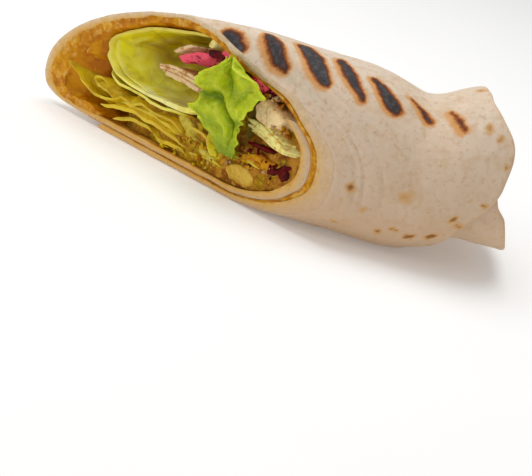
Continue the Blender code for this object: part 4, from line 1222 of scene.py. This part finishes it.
# Slices over their solids: name, path, thickness, recess, depth (None: to the filling's
# end), finish and slot.
SLICES = (
    ("onion", ((-1.8, 6.8), (3.0, 7.4), (7.2, 6.4)), 2.6, 0.0, 20.0, "onion", "onion"),
    ("red_cabbage_1", ((-2.0, 15.6), (0.6, 13.4), (3.2, 11.4)), 2.2, 0.0, 22.0, "red cabbage",
     "red_cabbage"),
    ("red_cabbage_2", ((-6.8, 15.8), (-4.8, 16.8), (-2.4, 16.4)), 2.4, -0.2, None,
     "dark cabbage", "red_cabbage"),
    ("red_cabbage_3", ((-15.4, 12.6), (-13.7, 13.7), (-12.2, 14.6)), 1.8, -0.5, None,
     "red cabbage", "red_cabbage"),
    ("red_cabbage_4", ((-17.6, -3.0), (-15.8, -2.8), (-13.9, -3.1)), 1.1, 1.0, None,
     "dark cabbage", "red_cabbage"),
    ("red_cabbage_5", ((-21.2, -5.4), (-21.7, -8.2), (-20.1, -11.2), (-17.6, -13.8)), 1.2, 2.3,
     None, "dark cabbage", "red_cabbage"),
    ("cabbage_shred_1", ((2.2, 16.7), (4.0, 14.9), (5.8, 12.6)), 0.9, 1.6, 20.0, "onion",
     "white_cabbage"),
    ("cabbage_shred_2", ((-1.4, 20.7), (-0.8, 19.2), (-0.4, 17.6)), 1.2, 3.0, 24.0,
     "white cabbage", "white_cabbage"),
)

# Slices that are in the scene only: name, path, thickness, finish, slot, recess, where they
# end, lumps and their size, and seed.
LOOSE_SLICES = (
    ("onion_layer", ((-1.8, 4.4), (2.4, 5.3), (6.2, 5.2)), 1.5, "onion", "onion", 0.8, 20.0,
     0.25, 1.8, 299),
    ("cabbage_tip", ((-5.2, 18.3), (-6.4, 17.6), (-7.6, 16.7)), 1.5, "red cabbage",
     "red_cabbage", -0.3, 40.0, 0.3, 1.6, 297),
    ("cabbage_curl", ((-22.0, -4.4), (-20.9, -6.6), (-19.4, -9.2)), 0.8, "dark cabbage",
     "red_cabbage", 1.4, 40.0, 0.3, 1.6, 291),
)

# Layers of the white cabbage: path, thickness and recess.
WHITE_LAYERS = (
    (((-21.8, -0.6), (-18.6, 1.5), (-15.6, 3.0), (-13.4, 3.4)), 1.2, 0.0),
    (((-21.4, -1.4), (-18.2, 0.3), (-15.4, 1.6), (-13.2, 1.8)), 1.0, 0.7),
    (((-20.4, 1.2), (-18.0, 2.4), (-16.0, 3.6)), 0.9, 1.2),
    (((-20.6, -1.6), (-18.0, -0.8), (-15.4, 0.4), (-13.6, 0.6)), 0.8, 1.6),
)

# Masses: name, middle, half sizes, tilt, recess, how uneven, finish, slot and crust side.
MASSES = (
    ("falafel", (-16.8, 7.4), (3.0, 3.9), 8, 0.3, 0.06, "falafel", "falafel", (-0.6, 1.0)),
    ("falafel_crumbs", (-7.0, -13.3), (3.3, 3.1), 0, 2.0, 0.09, "spiced filling", "falafel",
     (0.2, -1.0)),
    ("spiced_filling", (-16.2, -7.3), (3.5, 2.1), -24, 1.8, 0.07, "spiced filling",
     "spiced_filling", (0, 1)),
    ("hummus", (-14.2, -14.0), (2.9, 3.1), 0, 0.3, 0.05, "hummus", "hummus", (0, -1)),
)


def onion_rings(y, z):
    """The onion's skins: waves across its height that bend with its width."""
    return ramp(0.1, 0.9, np.sin(5.2 * (z + 0.04 * (y - 3) ** 2)))


def layered(y, z):
    """The white cabbage's skins: noise drawn out across the roll."""
    return ramp(0.2, 1.0, lattice_noise(points_at(0.0, y * 1.5, z * 3), 2.0, 8))


def both_sides(outline):
    """The coloured skins above and below a slice's middle line."""
    middle_y, middle_z = outline.mean(axis=0)
    half_height = max(0.5, np.ptp(outline[:, 1]) / 2)
    return lambda y, z: ramp(
        0.35, 1.0, np.abs((z - middle_z) * 0.9 + (y - middle_y) * 0.2) / half_height)


def make_fillings():
    """The slices and masses of filling, each over its solid, and the loose slices."""
    for k, (name, path, thickness, recess, depth, finish, slot) in enumerate(SLICES):
        outline = bar_outline(path, thickness)
        end = FILLING_END if depth is None else cut_x(outline[:, 0].mean()) + depth
        skin_of = onion_rings if name == "onion" else both_sides(outline)
        make_mass(name + "_slice", outline, finish, recess, end, [name], bevel=0.4,
                  lumps=0.22, lump_size=2.4, seed=200 + 7 * k, skin_of=skin_of)
    for name, path, thickness, finish, slot, recess, end, lumps, lump_size, seed in LOOSE_SLICES:
        make_mass(name, bar_outline(path, thickness), finish, recess, end, (), bevel=0.3,
                  lumps=lumps, lump_size=lump_size, seed=seed)
    for k, (path, thickness, recess) in enumerate(WHITE_LAYERS):
        make_mass(f"white_cabbage_layer_{k + 1}", bar_outline(path, thickness), "white cabbage",
                  recess, FILLING_END - 3 * k, ["white_cabbage"], bevel=0.3,
                  lumps=0.2, lump_size=2.2, seed=300 + 9 * k, skin_of=layered)
    for k, (name, middle, half, tilt, recess, bump, finish, slot, crust) in enumerate(MASSES):
        make_mass(name + "_mass", oval_outline(middle, half, tilt, bump, k), finish,
                  recess, FILLING_END, [name], bevel=1.2, lumps=0.55, lump_size=2.6,
                  seed=400 + 11 * k, crust_side=crust)


def ball():
    """Points and faces of a coarse ball: rings of points between two poles."""
    turn = np.linspace(0, 2 * np.pi, 7, endpoint=False)[:, None]
    rise = np.linspace(-np.pi / 2, np.pi / 2, 5)[None, :]
    grid = points_at(np.cos(turn) * np.cos(rise), np.sin(turn) * np.cos(rise), np.sin(rise))
    return grid.reshape(-1, 3), grid_faces(*grid.shape[:2], wrap_rows=True)


def make_crumbs(name, finish, patches, count, size, seed, flat=1.0):
    """Crumbs scattered over patches of the cut, each patch (y, z, reach, distance behind
    the cut): balls of few faces, stretched, roughened and turned at random."""
    random = np.random.default_rng(seed)
    shape, shape_faces = ball()
    points, faces = [], []
    for k in range(count):
        y0, z0, reach, behind = patches[random.integers(len(patches))]
        y, z = np.array((y0, z0)) + reach * random.normal(0, 0.5, 2)
        stretch = random.uniform(*size) * random.uniform(0.6, 1.4, 3) * (1, 1, flat)
        axes = np.linalg.qr(random.normal(0, 1, (3, 3)))[0]
        uneven = 1 + 0.35 * rough(shape + 9.0 * k, 0.9, seed, 1)[:, None]
        crumb = (shape * uneven * stretch) @ axes
        place = settled(cut_x(y) + behind + random.uniform(-0.3, 1.2), y, z)
        points.append(crumb + place)
        faces.append(shape_faces + len(shape) * k)
    points = np.concatenate(points)
    marks = {mark: np.zeros(len(points)) for mark in ("along", "rib", "shade")}
    marks |= {"behind": np.full(len(points), 1.0), "skin": np.full(len(points), 0.6),
              "crust": random.uniform(0.4, 1, count).repeat(len(shape))}
    make_piece(name, points, np.concatenate(faces), finish, (), marks, sharp_deg=75)


# Patches of the cut that crumbs lie in: y, z, reach and distance behind the cut.
LOW_PATCHES = (
    (-3.6, -11.6, 1.3, 1.2), (-3.4, -12.6, 1.3, 1.2), (-4.5, -16.0, 2.2, 1.6),
    (-8.0, -14.6, 2.4, 1.4), (-11.0, -11.0, 2.2, 1.8), (-13.0, -8.6, 2.0, 2.2),
    (-17.6, -8.6, 2.0, 2.0), (-1.1, -12.0, 1.6, 1.6),
)
SIDE_PATCHES = (
    (-16.8, 7.4, 3.0, 1.2), (-14.0, 10.6, 1.6, 1.2), (-19.8, 4.4, 1.6, 1.2),
    (-17.4, 12.0, 1.4, 0.8),
)
CABBAGE_PATCHES = (
    (-14.2, 13.0, 1.6, 0.8), (-9.0, 16.4, 2.0, 1.0), (-17.8, -10.0, 1.8, 1.2),
    (-19.6, -7.0, 1.4, 1.2), (-15.4, -3.4, 1.6, 1.0),
)
LEAF_PATCHES = ((-3.0, -9.0, 2.5, 1.6), (2.0, -18.0, 3.0, 1.6))


def make_scatter():
    """Grains of falafel, hummus and filling, and flecks of cabbage and leaf."""
    make_crumbs("falafel_grains", "falafel", LOW_PATCHES[4:7] + SIDE_PATCHES,
                count=56, size=(0.35, 0.8), seed=501)
    make_crumbs("hummus_grains", "hummus", LOW_PATCHES,
                count=40, size=(0.4, 1.0), seed=503)
    make_crumbs("filling_grains", "spiced filling",
                LOW_PATCHES + SIDE_PATCHES[1:], count=60, size=(0.35, 0.9), seed=505)
    make_crumbs("cabbage_flecks", "dark cabbage", CABBAGE_PATCHES,
                count=34, size=(0.5, 1.0), seed=507, flat=0.5)
    make_crumbs("leaf_flecks", "yellow leaf", LOW_PATCHES + LEAF_PATCHES,
                count=60, size=(0.5, 1.3), seed=509, flat=0.3)


# ---------------------------------------------------------------- the studio, in metres

WHITE = (1.0, 1.0, 1.0, 1.0)
FLOOR_HALF = 6
FLOOR_GLOW = 0.14
SKY_STRENGTH = 0.42
LAMPS = (("key", (-0.12, 0.1, 0.78), 0.7, 3.7), ("fill", (-0.85, -0.4, 0.42), 0.6, 1.6))
LAMP_COLOUR = (1.0, 0.99, 0.97)
LAMPS_AIM = (0.0, 0.0, 0.03)


def make_stage_and_light():
    """A pale floor, soft light from above and from beside the cut, and an even sky."""
    floor_mesh = bpy.data.meshes.new("floor")
    corners = [(FLOOR_HALF * x, FLOOR_HALF * y, 0) for x, y in ((-1, -1), (1, -1), (1, 1), (-1, 1))]
    floor_mesh.from_pydata(corners, [], [(0, 1, 2, 3)])
    f = Finish("floor", Roughness=0.9, Specular_IOR_Level=0.1, Emission_Color=WHITE,
               Emission_Strength=FLOOR_GLOW)
    floor_mesh.materials.append(f.finish(f.mix(f.noise(60, 2), (250, 250, 250), (247, 247, 247))))
    floor = add_object("floor", floor_mesh)
    world = bpy.data.worlds.new("studio")
    world.use_nodes = True
    sky = world.node_tree.nodes["Background"]
    sky.inputs["Color"].default_value = WHITE
    sky.inputs["Strength"].default_value = SKY_STRENGTH
    bpy.context.scene.world = world
    for name, place, size, power in LAMPS:
        lamp = bpy.data.lights.new(name, "AREA")
        lamp.shape, lamp.size, lamp.energy, lamp.color = "DISK", size, power, LAMP_COLOUR
        light = add_object(name, lamp)
        light.location = place
        light.rotation_mode = "QUATERNION"
        light.rotation_quaternion = Vector(np.subtract(LAMPS_AIM, place)).to_track_quat("-Z", "Y")


# ---------------------------------------------------------------- the camera

CAMERA_DOWN_DEG, CAMERA_ROLL_DEG = 22, 16
CAMERA_DISTANCE = 402.0
CAMERA_LENS, CAMERA_SENSOR = 85.0, 36.0
CUT_BASE_PX = (185, 101)


def make_camera():
    """The photograph's viewpoint: level with the roll's length, looking down, turned
    about its own axis, and aimed so that the middle of the cut's base line falls on its
    place in the picture."""
    down, roll = math.radians(CAMERA_DOWN_DEG), math.radians(CAMERA_ROLL_DEG)
    focal = CAMERA_LENS / CAMERA_SENSOR * IMAGE_WIDTH
    back = np.array((0, -math.cos(down), math.sin(down)))
    level = np.array((1.0, 0, 0))
    upright = np.cross(level, -back)
    right = math.cos(roll) * level + math.sin(roll) * upright
    up = -math.sin(roll) * level + math.cos(roll) * upright
    ray = (CUT_BASE_PX[0] - IMAGE_WIDTH / 2) / focal * right \
        - (CUT_BASE_PX[1] - IMAGE_HEIGHT / 2) / focal * up - back
    place = (-CAMERA_DISTANCE * ray - ORIGIN) * MM
    camera_data = bpy.data.cameras.new("camera")
    camera_data.lens, camera_data.sensor_width = CAMERA_LENS, CAMERA_SENSOR
    camera_data.clip_start = 0.01
    camera = add_object("camera", camera_data)
    camera.matrix_world = Matrix([(right[k], up[k], back[k], place[k]) for k in range(3)]
                                 + [(0, 0, 0, 1)])
    bpy.context.scene.camera = camera


make_camera()
make_stage_and_light()
make_tortilla()
make_tail_end()
make_sauce()
make_film()
make_leaves()
make_frilly_leaf()
make_fillings()
make_bed()
make_scatter()
bpy.context.scene.view_settings.view_transform = "Standard"

bpy.context.view_layer.update()
